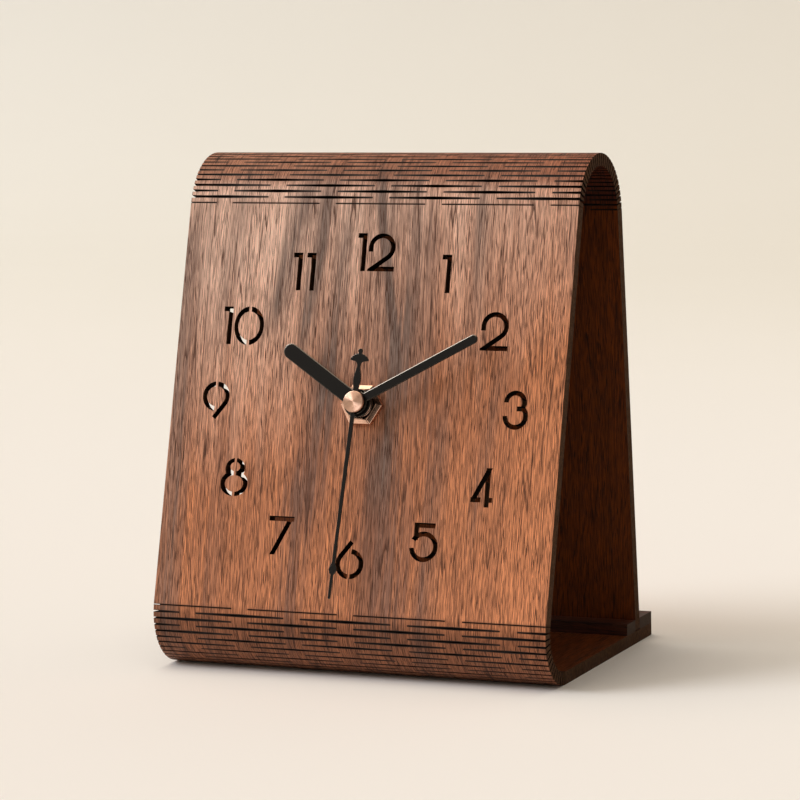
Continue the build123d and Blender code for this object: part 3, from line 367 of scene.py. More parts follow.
def walnut_colour(add, colours, across, run, inside):
    """The veneer's colour, and how deep its pores are, from the place across and along the grain."""
    layer = add("Math.MULTIPLY", (inside, inner_skin_seed))
    # The grain wanders slowly across the sheet
    place = add("CombineXYZ", (across, run, layer))
    slow = add("VectorMath.MULTIPLY", (place, (0.031, 0.006, 1.0)))
    wander = add("TexNoise", {"Vector": slow, "Scale": 1.0, "Detail": 0.0})
    drift = add("Math.MULTIPLY_ADD", (wander, 5.0, across))
    # Neighbouring streaks start at unlike heights
    staggered = add("Math.MULTIPLY_ADD", (drift, 16.5, run))
    wavy = add("CombineXYZ", (drift, staggered, layer))
    streaks = {}
    for name, (width, reach, detail, seed, roughness) in grain_streaks.items():
        scale, shift = (0.5 / width, 0.5 / reach, 1.0), (seed, 0.37 * seed, 0.0)
        spot = add("VectorMath.MULTIPLY_ADD", (wavy, scale, shift))
        inputs = {"Vector": spot, "Scale": 1.0, "Detail": detail, "Roughness": roughness}
        streaks[name] = add("TexNoise", inputs)

    # Pinker and paler at the panel's head to the left, with fainter bands and pores, more orange away from
    # it:
    # a painted sheen of the key light over the veneer's tone, mirrored onto the back panel's head
    past_head = add("Math.SUBTRACT", (mirrored_run, run))
    from_foot = add("Math.MINIMUM", (run, past_head))
    climb = add("Math.MULTIPLY_ADD", (across, -0.42, from_foot))
    warmth = add("Math.MULTIPLY_ADD", (streaks["warmth"], 46.0, climb))
    painted_sheen = add("MapRange", (warmth, 75.0, 151.0))
    paler = add("MapRange", (painted_sheen, 0.0, 1.0, 1.0, 0.65))

    # Bands: broad ones, and soft streaks a few millimetres wide
    broad = add("MapRange", (streaks["broad"], 0.45, 0.7, 0.0, 0.35))
    narrow = add("MapRange", (streaks["narrow"], 0.42, 0.7, 0.0, 0.6))
    brown = add("Math.MAXIMUM", (broad, narrow))
    grey = add("MapRange", (streaks["grey"], 0.5, 0.72, 0.0, 0.5))
    grey = add("Math.MULTIPLY", (grey, add("MapRange", (painted_sheen, 0.1, 0.8, 0.25, 1.0))))
    # The figure is made of streaks itself, so it fades in and out across its width
    uneven = add("MapRange", (streaks["narrow"], 0.3, 0.62, 0.45, 1.25))
    for (head_across, head_run), (foot_across, foot_run), half_width, greyness, darkness in panel_figure:
        slope = (head_across - foot_across) / (head_run - foot_run)
        middle = add("Math.MULTIPLY_ADD", (run, slope, foot_across - slope * foot_run + 2.5))
        distance = add("Math.ABSOLUTE", (add("Math.SUBTRACT", (drift, middle)),))
        patch = uneven
        for measure, nothing, full in (
            (distance, 1.7 * half_width, 0.2 * half_width),
            (run, foot_run - 12, foot_run + 6),
            (run, head_run + 14, head_run - 4),
        ):
            share = add("MapRange", (measure, nothing, full))
            patch = add("Math.MULTIPLY", (patch, share))
        grey = add("Math.MULTIPLY_ADD", (patch, greyness, grey))
        brown = add("Math.MULTIPLY_ADD", (patch, darkness, brown))
    grey = add("Math.MINIMUM", (grey, 0.9))
    brown = add("Math.MULTIPLY", (brown, paler))

    # Growth lines: a fine dark line every 2 to 5 mm, broken where few pores lie on it
    swing = add("Math.MULTIPLY", (streaks["swing"], 7.0))
    growth = add("Math.MULTIPLY_ADD", (drift, 0.34, swing))
    phase = add("Math.FRACT", (growth,))
    rise = add("MapRange", (phase, 0.84, 0.95))
    fall = add("MapRange", (phase, 0.96, 0.99, 1.0, 0.0))
    broken = add("MapRange", (streaks["gaps"], 0.4, 0.55, 0.1, 1.0))
    line = add("Math.MULTIPLY", (add("Math.MULTIPLY", (rise, fall)), broken))

    # Pores: short dark dashes, drawn a little wider than real so that they show
    pores = add("MapRange", (streaks["pores"], 0.52, 0.57))
    crowd = add("MapRange", (streaks["crowd"], 0.34, 0.62, 0.3, 1.0))
    pores = add("Math.MULTIPLY", (pores, crowd))
    depth = add("Math.MULTIPLY", (paler, 1.4))
    dark = add("Math.MULTIPLY_ADD", (pores, depth, line))
    dark = add("Math.MINIMUM", (dark, 0.92))

    tone = colours.walnut_orange
    for share, layer_colour in (
        (painted_sheen, colours.walnut_pink_with_sheen),
        (brown, colours.walnut_brown),
        (grey, colours.walnut_grey),
        (dark, colours.walnut_dark),
    ):
        tone = add("Mix.RGBA", {0: share, 6: tone, 7: layer_colour}, 2)
    fibres = add("MapRange", (streaks["fibres"], 0.3, 0.7, 0.68, 1.62))
    tone = add("VectorMath.SCALE", {0: tone, "Scale": fibres})
    return tone, pores


def pore_bump(add, pores):
    """Pores sunk 0.06 mm into the wood."""
    return add("Bump", {"Height": pores, "Strength": 0.35, "Distance": -0.06 * MM})


def veneer_material(sizes, colours):
    """Walnut veneer, sanded and oiled, then cut by laser.

    Open pores and a satin oil sheen; black, dull walls where the laser burnt through; a thin brown
    smoke stain beside the saw lines; painted shade darkens and browns the inner skin, and darkens
    the strips round the arch and the foot.
    """
    made, add = new_material("oiled_walnut_veneer_laser_cut")
    lay = sheet_lay(add, sizes)
    tone, pores = walnut_colour(add, colours, lay["across"], lay["run"], lay["inside"])
    # The burnt core of the side edges shows fine soot streaks through its thickness
    place = object_millimetres(add)
    soot = add("TexNoise", {"Vector": place, "Scale": 1.3, "Detail": 4.0, "Roughness": 0.7})
    soot = add("MapRange", (soot, 0.35, 0.7))
    scorch = colours.scorch
    edge = {0: soot, 6: colours.edge_brown, 7: "#33241A"}
    wall = {0: lay["end_grain"], 6: scorch, 7: add("Mix.RGBA", edge, 2)}
    wall = add("Mix.RGBA", wall, 2)
    for share, tint, blend in (
        # Painted shade: the strips of the arch and the foot are darkened as they turn away from the panel
        ("arch_stain", "#B69682", "MULTIPLY"),
        ("foot_stain", "#B5B2B3", "MULTIPLY"),
        ("smoke", "#5E3A2A", "MIX"),
        # Painted shade: the inner skin, which the lamps hardly reach, is darkened and browned
        ("inside", "#8F6E2F", "MULTIPLY"),
        ("saw_line", scorch, "MIX"),
        ("cut", wall, "MIX"),
    ):
        tone = add("Mix.RGBA", {0: lay[share], 6: tone, 7: tint}, 2, blend_type=blend)
    roughness = add("Mix", (lay["cut"], None, 0.46, 0.85))
    roughness = add("Math.MULTIPLY_ADD", (pores, 0.25, roughness))
    gloss = add("Mix", (lay["cut"], None, 0.24, 0.05))
    bump = pore_bump(add, pores)
    surface(add, {"Base Color": tone, "Roughness": roughness, "Specular IOR Level": gloss, "Normal": bump})
    return made


def strip_material(colours):
    """Solid walnut strip, sawn and sanded, with scorched ends.

    Grain runs along the strip; the ends are dull and grey-brown.
    """
    made, add = new_material("sanded_walnut_strip")
    place = object_millimetres(add)
    run, across, up = [add("SeparateXYZ", (place,), axis) for axis in "XYZ"]
    girth = add("Math.ADD", (across, up))
    tone, pores = walnut_colour(add, colours, girth, run, 1.0)
    soot = add("TexNoise", {"Vector": place, "Scale": 1.6, "Detail": 4.0, "Roughness": 0.7})
    burnt = add("Mix.RGBA", {0: soot, 6: "#4E3829", 7: "#2A1D15"}, 2)
    end = end_face(add)
    for share, tint, blend in ((1.0, "#6E5340", "MULTIPLY"), (end, burnt, "MIX")):
        tone = add("Mix.RGBA", {0: share, 6: tone, 7: tint}, 2, blend_type=blend)
    gloss = add("Mix", (end, None, 0.3, 0.05))
    bump = pore_bump(add, pores)
    surface(add, {"Base Color": tone, "Roughness": 0.6, "Specular IOR Level": gloss, "Normal": bump})
    return made


def brass_material(colours, name, roughness, anisotropic):
    """Brass, turned on a lathe and polished, with a rosy tint.

    Bright bow-tie highlights that turn about the middle; faint scratches and slight tarnish in
    patches.
    """
    made, add = new_material(name)
    place = object_millimetres(add)
    tarnish = add("TexNoise", {"Vector": place, "Scale": 0.9, "Detail": 5.0, "Roughness": 0.6})
    tarnish = add("MapRange", (tarnish, 0.45, 0.75, 0.0, 0.35))
    tone = {0: tarnish, 6: colours.brass, 7: "#A4694A"}
    drawn = add("VectorMath.MULTIPLY", (place, (1.0, 9.0, 1.0)))
    scratch = add("TexNoise", {"Vector": drawn, "Scale": 2.0, "Detail": 3.0})
    sockets = {
        "Base Color": add("Mix.RGBA", tone, 2),
        "Metallic": 1.0,
        "Roughness": add("MapRange", (scratch, 0.3, 0.7, roughness - 0.02, roughness + 0.03)),
    }
    if anisotropic:
        sockets["Anisotropic"] = anisotropic
        sockets["Anisotropic Rotation"] = 0.25
        sockets["Tangent"] = add("Tangent", direction_type="RADIAL", axis="Z")
    surface(add, sockets)
    return made


def speckled_material(name, base, fleck, roughness, grain, bump, metallic=0.0, specular=0.5, coat=0.0):
    """A surface of one colour with fine flecks of another.

    grain is the flecks' size and bump their height, both in millimetres.
    """
    made, add = new_material(name)
    place = object_millimetres(add)
    noise = add("TexNoise", {"Vector": place, "Scale": 1 / grain, "Detail": 4.0, "Roughness": 0.6})
    share = add("MapRange", (noise, 0.35, 0.7))
    cloud = add("TexNoise", {"Vector": place, "Scale": 0.12, "Detail": 3.0})
    smoothest = max(roughness - 0.06, 0.02)
    sockets = {
        "Base Color": add("Mix.RGBA", {0: share, 6: base, 7: fleck}, 2),
        "Metallic": metallic,
        "Roughness": add("MapRange", (cloud, 0.3, 0.7, smoothest, roughness + 0.06)),
        "Specular IOR Level": specular,
        "Coat Weight": coat,
    }
    if bump:
        sockets["Normal"] = add("Bump", {"Height": noise, "Strength": 0.5, "Distance": bump * MM})
    surface(add, sockets)
    return made


def hand_paint_material(colours):
    """Sheet aluminium, stamped and sprayed satin black.

    Near-black with a fine orange-peel; the paint is thin on the coined chamfer, whose bare metal
    flashes where it faces the lamp.
    """
    made, add = new_material("satin_black_paint_on_stamped_aluminium")
    place = object_millimetres(add)
    peel = add("TexNoise", {"Vector": place, "Scale": 2.5, "Detail": 3.0, "Roughness": 0.6})
    mottle = add("MapRange", (peel, 0.3, 0.7))
    normal = add("NewGeometry", output="True Normal")
    to_object = {"vector_type": "NORMAL", "convert_from": "WORLD", "convert_to": "OBJECT"}
    outward = add("SeparateXYZ", (add("VectorTransform", (normal,), **to_object),), "Z")
    above_side = add("Math.GREATER_THAN", (outward, 0.6))
    off_face = add("Math.LESS_THAN", (outward, 0.985))
    worn = add("Math.MULTIPLY", (above_side, off_face))
    tone = colours.black_paint
    for share, tint in ((mottle, "#1C1917"), (worn, "#756E66")):
        tone = add("Mix.RGBA", {0: share, 6: tone, 7: tint}, 2)
    bare = add("Math.MULTIPLY", (worn, 0.95))
    bump = add("Bump", {"Height": peel, "Strength": 0.15, "Distance": 0.02 * MM})
    sockets = {"Base Color": tone, "Metallic": bare, "Roughness": 0.27, "Normal": bump}
    surface(add, {**sockets, "Specular IOR Level": 0.2})
    return made


def winding_material():
    """Copper wire with a clear enamel, wound in a close coil.

    Turns as fine ridges across the coil, drawn 0.35 mm apart so that they show, with painted shade
    darkening the grooves between them.
    """
    made, add = new_material("enamelled_copper_wire_wound")
    along = add("SeparateXYZ", (object_millimetres(add),), "X")
    ridge = add("Math.SINE", (add("Math.MULTIPLY", (along, 2 * pi / 0.35)),))
    share = add("MapRange", (ridge, -1.0, 1.0))
    # Painted shade: the copper goes dark in the grooves between turns
    tone = add("Mix.RGBA", {0: share, 6: "#6B2F12", 7: "#C9743A"}, 2)
    bump = add("Bump", {"Height": ridge, "Strength": 0.6, "Distance": 0.08 * MM})
    surface(add, {"Base Color": tone, "Metallic": 0.85, "Roughness": 0.3, "Normal": bump, "Coat Weight": 0.4})
    return made


def floor_material(colours):
    """Seamless cream paper: a matt sheet, swept up behind the object, with a painted falloff of light that
    darkens it to the right toward the wall, clouded by a faint mottle.
    """
    made, add = new_material("matt_cream_backdrop_paper")
    place = object_millimetres(add)
    mottle = add("TexNoise", {"Vector": place, "Scale": 0.01, "Detail": 3.0})
    across = add("SeparateXYZ", (place,), "X")
    back = add("SeparateXYZ", (place,), "Y")
    # Painted falloff of light: toward the wall the paper is painted a little darker to the right
    far = add("MapRange", (back, 100.0, 1400.0), **SMOOTH)
    sideways = add("Math.MULTIPLY_ADD", (back, 0.42, across))
    clouded = add("Math.MULTIPLY_ADD", (mottle, 120.0, sideways))
    share = add("MapRange", (clouded, -420.0, 480.0))
    wall = add("Mix.RGBA", {0: share, 6: "#EFEDE8", 7: "#E8E4DC"}, 2)
    # The paper ends in front of the object, so its metal mirrors a dark room there. The camera sees
    # the paper go on.
    front = add("MapRange", (back, -300.0, -250.0, 1.0, 0.0))
    seen = add("LightPath", output="Is Camera Ray")
    hidden = add("Math.MULTIPLY_ADD", (seen, -1.0, 1.0))
    room = add("Math.MULTIPLY", (front, hidden))
    tone = colours.floor_cream
    for share, tint in ((far, wall), (room, "#1C1A19")):
        tone = add("Mix.RGBA", {0: share, 6: tone, 7: tint}, 2)
    surface(add, {"Base Color": tone, "Roughness": 0.9, "Specular IOR Level": 0.1})
    return made


def dress(node_name, made):
    """Gives a carried-over CAD node its material."""
    node = frame["nodes"][node_name]
    node.data.materials.clear()
    node.data.materials.append(made)


def ring(radius, count, start=0.0, turn=2 * pi, middle=(0.0, 0.0)):
    """Points on a circle or an arc in the plane; a full circle doesn't repeat its first point."""
    whole = abs(abs(turn) - 2 * pi) < 1e-6
    steps = count if whole else count - 1
    angles = [start + turn * k / steps for k in range(count)]
    return [(middle[0] + radius * cos(angle), middle[1] + radius * sin(angle)) for angle in angles]


def corners_at(shape, outline, height):
    """New corners of a mesh along an outline at a height, all in millimetres."""
    return [shape.verts.new((x * MM, y * MM, height * MM)) for x, y in outline]


def skin(shape, loops, bands=None):
    """Smooth faces between each loop of corners and the next, where a loop may be a single point.

    bands gives the material number of each stretch between two loops.
    """
    for stretch, (first, second) in enumerate(zip(loops, loops[1:])):
        count = max(len(first), len(second))
        for k in range(count):
            after = (k + 1) % count
            corners = [first[n % len(first)] for n in (k, after)]
            corners += [second[n % len(second)] for n in (after, k)]
            corners = list(dict.fromkeys(corners))
            if len(corners) > 2:
                face = shape.faces.new(corners)
                face.smooth = True
                face.material_index = bands[stretch] if bands else 0


def put_in_scene(name, mesh, finishes, place):
    """An object of a mesh with its materials, put at its place."""
    for made in finishes:
        mesh.materials.append(made)
    piece = bpy.data.objects.new(name, mesh)
    bpy.context.scene.collection.objects.link(piece)
    piece.matrix_world = place
    return piece


def finished_piece(name, shape, finishes, place, sharp):
    """An object of a drawn shape, with a crisp edge wherever faces meet at this many degrees or more."""
    bmesh.ops.recalc_face_normals(shape, faces=shape.faces)
    mesh = bpy.data.meshes.new(name)
    shape.to_mesh(mesh)
    shape.free()
    mesh.set_sharp_from_angle(angle=radians(sharp))
    return put_in_scene(name, mesh, finishes, place)


def turned_piece(name, profile, place, finishes, count=96, bands=None):
    """A turned piece about its own z axis from a profile of radius and height in millimetres."""
    shape = bmesh.new()
    outlines = [ring(radius, count) if radius > 0 else [(0.0, 0.0)] for radius, _ in profile]
    loops = [corners_at(shape, outline, height) for outline, (_, height) in zip(outlines, profile)]
    skin(shape, loops, bands)
    return finished_piece(name, shape, finishes, place, 32)


def stamped_piece(name, outlines, low, high, bevel, turn, made):
    """A flat metal piece with rounded edges in the dial's frame, from an outline and its holes.

    Heights are over the panel's face; turn is the clock angle that the piece points to.
    """
    curve = bpy.data.curves.new(name, "CURVE")
    curve.dimensions = "2D"
    curve.fill_mode = "BOTH"
    curve.extrude = ((high - low) / 2 - bevel) * MM
    curve.bevel_depth = bevel * MM
    curve.bevel_resolution = 3
    curve.offset = -bevel * MM
    for outline in outlines:
        spline = curve.splines.new("POLY")
        spline.points.add(len(outline) - 1)
        for point, (x, y) in zip(spline.points, outline):
            point.co = (x * MM, y * MM, 0.0, 1.0)
        spline.use_cyclic_u = True
    drawn = bpy.data.objects.new(name + "_outline", curve)
    bpy.context.scene.collection.objects.link(drawn)
    bpy.context.view_layer.update()
    mesh = bpy.data.meshes.new_from_object(drawn.evaluated_get(bpy.context.evaluated_depsgraph_get()))
    bpy.data.objects.remove(drawn)
    bpy.data.curves.remove(curve)
    if not mesh.polygons:
        raise RuntimeError(name + " came out empty")
    mesh.name = name
    mesh.transform(Matrix.Rotation(-turn, 4, "Z") @ Matrix.Translation((0, 0, (low + high) / 2 * MM)))
    mesh.materials.clear()
    mesh.shade_smooth()
    piece = put_in_scene(name, mesh, [made], dial_frame)
    piece.modifiers.new("flat_faces_stay_flat", "WEIGHTED_NORMAL")
    return piece


class CLOCK_OT_bent_sheet(bpy.types.Operator):
    """Give the folded sheet its oiled walnut veneer and scorched cuts"""

    bl_idname = "clock.bent_sheet"
    bl_label = "Veneer the folded sheet"

    def execute(self, context):
        dress("bent_sheet", veneer_material(context.scene.clock_sheet, context.scene.clock_colours))
        return {"FINISHED"}


class CLOCK_OT_char(bpy.types.Operator):
    """Leave char in the foot's first saw line, which the bend doesn't open"""

    bl_idname = "clock.char"
    bl_label = "Fill the blunt saw line"

    def execute(self, context):
        sizes = context.scene.clock_sheet
        half_across, half_gap, half_depth, stretches = 63.5 * MM, 0.12 * MM, 0.9 * MM, 48
        # The line is half a step past the fold, in the middle of the sheet's thickness
        facing = pi - sizes.panel_lean
        angle = facing + (1.5 * pi - facing) / sizes.foot_strips / 2
        outward = Vector((0.0, cos(angle), sin(angle)))
        along = Vector((0.0, -sin(angle), cos(angle)))
        bend_middle = Vector((0.0, -sizes.foot_run, sizes.foot_radius))
        middle = bend_middle + (sizes.foot_radius - sizes.thickness / 2) * outward
        shape = bmesh.new()
        loops = []
        for k in range(stretches + 1):
            slice_middle = middle + Vector((half_across * (2 * k / stretches - 1), 0, 0))
            # The char's faces are crumbly
            crumb = 0.2 * MM * sin(7.3 * k) * sin(2.1 * k)
            loops.append(
                [
                    shape.verts.new(slice_middle + a * half_gap * along + o * (half_depth + crumb) * outward)
                    for a, o in ((-1, -1), (1, -1), (1, 1), (-1, 1))
                ]
            )
        skin(shape, loops)
        shape.faces.new(loops[0])
        shape.faces.new(loops[-1])
        # Char, left by the laser: dead black and crumbly
        made = speckled_material("char_from_laser_cutting", "#120B07", "#21150E", 0.95, 0.3, 0.02, 0.0, 0.05)
        piece = finished_piece("char_in_saw_line", shape, [made], Matrix.Identity(4), 0)
        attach(piece, "case")
        return {"FINISHED"}


class CLOCK_OT_foot_strips(bpy.types.Operator):
    """Give the two strips on the base their sanded walnut"""

    bl_idname = "clock.foot_strips"
    bl_label = "Finish the foot strips"

    def execute(self, context):
        made = strip_material(context.scene.clock_colours)
        dress("foot_strip_front", made)
        dress("foot_strip_rear", made)
        return {"FINISHED"}


def baton_outline(reach, width, hub):
    """A baton hand that points up: round tip, even width and round hub."""
    half = width / 2
    meet = asin(half / (hub / 2))
    hub_arc = ring(hub / 2, 48, pi / 2 + meet, 2 * pi - 2 * meet)
    tip = ring(half, 20, 0.0, pi, (0.0, reach - half))
    return hub_arc + tip


def baton_hand(name, reach, width, hub, hole, low, high, turn, made):
    """A coined baton hand in the dial's frame: thin sheet with a shallow chamfer round its face."""
    # Insets and heights of the edge: a small round below, the side, and the chamfer at 18 degrees
    edge = ((0.06, low), (0.0, low + 0.06), (0.0, high - 0.15), (0.02, high - 0.08), (0.23, high))
    shape = bmesh.new()
    loops = []
    for inset, height in edge:
        outline = baton_outline(reach - inset, width - 2 * inset, hub - 2 * inset)
        loops.append(corners_at(shape, outline, height))
    bores = [corners_at(shape, ring(hole / 2, 32), height) for height in (low, high)]
    skin(shape, loops)
    skin(shape, (bores[1], bores[0]))
    for outer, bore, side in ((loops[0], bores[0], -1), (loops[-1], bores[1], 1)):
        edges = [shape.edges.get(pair) for loop in (outer, bore) for pair in zip(loop, loop[1:] + loop[:1])]
        bmesh.ops.triangle_fill(shape, edges=edges, use_beauty=True, normal=(0, 0, side))
    shape.transform(Matrix.Rotation(-turn, 4, "Z"))
    return finished_piece(name, shape, [made], dial_frame, 10)


def second_outline(reach):
    """The second hand, pointing up: a long taper with a lozenge, and a tail with bulge, crescent and ball."""
    right = [(0.0, reach), (0.28, reach - 0.12), (0.45, reach - 0.5)]
    right += [(0.5, 53.0), (0.62, 52.9), (0.95, 52.45), (1.35, 51.5), (1.1, 50.6), (0.7, 49.8), (0.52, 49.2)]
    right += [(0.7, 2.5)]
    right += ring(2.5, 14, radians(73), radians(-146))[1:-1]
    right += [(0.72, -2.6), (0.84, -3.6), (1.02, -4.9), (1.2, -6.2), (1.26, -7.3), (1.12, -8.4), (0.82, -9.6)]
    right += [(0.6, -10.6), (0.56, -11.2), (0.68, -11.8), (0.98, -12.25), (1.45, -12.5), (2.2, -12.6)]
    right += [(2.9, -12.75), (3.05, -13.0), (2.86, -13.45), (2.45, -13.95), (1.95, -14.35), (1.35, -14.68)]
    right += [(0.8, -14.84), (0.6, -15.0)]
    right += ring(0.76, 12, radians(48), radians(-138), (0.0, -15.74))
    left = [(-x, y) for x, y in reversed(right) if x > 1e-6]
    return right + left


class CLOCK_OT_hands(bpy.types.Operator):
    """Make the three black hands with their rounded edges"""

    bl_idname = "clock.hands"
    bl_label = "Make the hands"

    def execute(self, context):
        sizes = context.scene.clock_hands
        paint = hand_paint_material(context.scene.clock_colours)
        # Bores, and the heights of the lower faces over the panel, in millimetres
        hour_bore, minute_bore, second_bore = 5.06, 2.86, 0.86
        hour_low, minute_low, second_low = 4.3, 5.5, 6.7
        hand_sheet, second_sheet, second_round, collar_height = 0.5, 0.4, 0.1, 0.6
        outlines = [second_outline(sizes.second_reach / MM), ring(second_bore / 2, 32)]
        second_high = second_low + second_sheet
        second = stamped_piece(
            "second_hand_stamped", outlines, second_low, second_high, second_round, radians(182.6), paint
        )
        # Name, reach, width, hub, bore, lower face, and the clock angle that it points to
        batons = (
            ("hour_hand_coined", sizes.hour_reach, sizes.hour_width, 8.8, hour_bore, hour_low, 303.2),
            ("minute_hand_coined", sizes.minute_reach, sizes.minute_width, 7.4, minute_bore, minute_low, 61),
        )
        hour, minute = [
            baton_hand(name, reach / MM, width / MM, hub, bore, low, low + hand_sheet, radians(turn), paint)
            for name, reach, width, hub, bore, low, turn in batons
        ]
        # Piece, node, body, bore, lower face, and the diameter of the collar below it
        for piece, node, body, bore, low, collar in (
            (hour, "hour_hand", "hour", hour_bore, hour_low, 6.4),
            (minute, "minute_hand", "minute", minute_bore, minute_low, 4.2),
            (second, "second_hand", "second", second_bore, second_low, 1.8),
        ):
            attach(piece, body)
            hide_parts(node)
            foot = low - collar_height
            profile = ((bore / 2, low), (bore / 2, foot), (collar / 2, foot), (collar / 2, low))
            sleeve = turned_piece(node + "_collar", profile, dial_frame, [paint], 64)
            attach(sleeve, body)
        return {"FINISHED"}


class CLOCK_OT_cap(bpy.types.Operator):
    """Turn the brass cap over the middle of the hands"""

    bl_idname = "clock.cap"
    bl_label = "Turn the cap"

    def execute(self, context):
        radius = context.scene.clock_hands.cap_diameter / MM / 2
        # Heights over the panel, and the rounds of the lower and the upper edge
        low, high, low_round, rim_round = 7.1, 7.9, 0.08, 0.2
        dome_radius, dome_height = radius - 0.3, 0.12
        brass = brass_material(context.scene.clock_colours, "polished_brass_turned", 0.3, 0.95)
        profile = [(0.0, low), (radius - low_round, low), (radius, low + low_round)]
        profile += ring(rim_round, 6, 0.0, pi / 2, (radius - rim_round, high - rim_round))
        shares = (0.98, 0.75, 0.5, 0.25, 0.0)
        profile += [(dome_radius * share, high + dome_height * (1 - share)) for share in shares]
        piece = turned_piece("hand_cap_turned", profile, dial_frame, [brass])
        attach(piece, "second")
        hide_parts("hand_cap")
        return {"FINISHED"}


# The nut's side: insets from its flats and heights, with rounded edges round the wide bevel
nut_profile = ((0.1, 0.0), (0, 0.1), (0, 1.42), (0.04, 1.56), (0.14, 1.68))
nut_profile += ((1.12, 2.28), (1.26, 2.36), (1.42, 2.4))
nut_thickness, nut_bore_radius, nut_corner_radius, nut_steps_a_side = 2.4, 4.06, 0.15, 6


def hexagon(half_flats):
    """A hexagon with flats at its head and foot and rounded corners, in millimetres."""
    reach = (half_flats - nut_corner_radius) / cos(pi / 6)
    arcs = []
    for turn in range(0, 361, 60):
        middle = (reach * cos(radians(turn)), reach * sin(radians(turn)))
        arcs.append(ring(nut_corner_radius, 5, radians(turn - 30), radians(60), middle))
    points = []
    for arc, following in zip(arcs, arcs[1:]):
        points += arc
        for step in range(1, nut_steps_a_side):
            share = step / nut_steps_a_side
            points.append([arc[-1][k] * (1 - share) + following[0][k] * share for k in (0, 1)])
    return points


class CLOCK_OT_nut(bpy.types.Operator):
    """Make the bevelled hexagon nut and the threaded neck"""

    bl_idname = "clock.nut"
    bl_label = "Make the nut and neck"

    def execute(self, context):
        colours = context.scene.clock_colours
        half = context.scene.clock_hands.nut_flats / MM / 2
        brass = brass_material(colours, "polished_brass_milled", 0.16, 0.0)
        # Circles have their points on the hexagon's spokes
        spokes = [(x / hypot(x, y), y / hypot(x, y)) for x, y in hexagon(half)]
        bore = [
            ([(radius * x, radius * y) for x, y in spokes], height)
            for radius, height in (
                (nut_bore_radius + 0.15, 0.0),
                (nut_bore_radius + 0.25, nut_thickness),
                (nut_bore_radius + 0.06, nut_thickness - 0.1),
                (nut_bore_radius, nut_thickness - 0.3),
                (nut_bore_radius, 0.15),
                (nut_bore_radius + 0.15, 0.0),
            )
        ]
        sides = [(hexagon(half - inset), height) for inset, height in nut_profile]
        shape = bmesh.new()
        skin(shape, [corners_at(shape, *level) for level in bore[:1] + sides + bore[1:]])
        bmesh.ops.remove_doubles(shape, verts=shape.verts, dist=1e-7)
        nut = finished_piece("hex_nut_milled", shape, [brass], dial_frame, 40)
        nut.modifiers.new("flat_faces_stay_flat", "WEIGHTED_NORMAL").keep_sharp = True
        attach(nut, "case")
        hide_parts("hex_nut")
        # The neck's flange and foot lie behind the panel; its thread shows over the nut as fine ridges
        neck_foot, flange_top, neck_top, thread_pitch = -6.2, -5.6, 3.2, 0.36
        neck_brass = brass_material(colours, "threaded_brass_neck", 0.3, 0.0)
        profile = [(5.2, neck_foot), (5.2, flange_top), (3.7, flange_top)]
        height = flange_top
        while height < neck_top - 0.55:
            profile += [(3.98, height + thread_pitch / 2), (3.72, height + thread_pitch)]
            height += thread_pitch
        profile += [(3.95, neck_top - 0.12), (3.85, neck_top), (2.6, neck_top)]
        profile += [(2.56, neck_foot), (5.2, neck_foot)]
        # Near-black with a low shine
        near_black_top = speckled_material("near_black_neck_top", "#0E0D0D", "#191716", 0.5, 0.4, 0.0, 0.0, 0.3)
        # Near-black over the nut but for the bright chamfer at its rim
        bands = [1 if below[1] > nut_thickness - 0.2 else 0 for below in profile[:-1]]
        bands[-4] = 0
        neck = turned_piece("threaded_neck_cut", profile, dial_frame, [neck_brass, near_black_top], 72, bands)
        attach(neck, "case")
        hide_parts("threaded_neck")
        return {"FINISHED"}


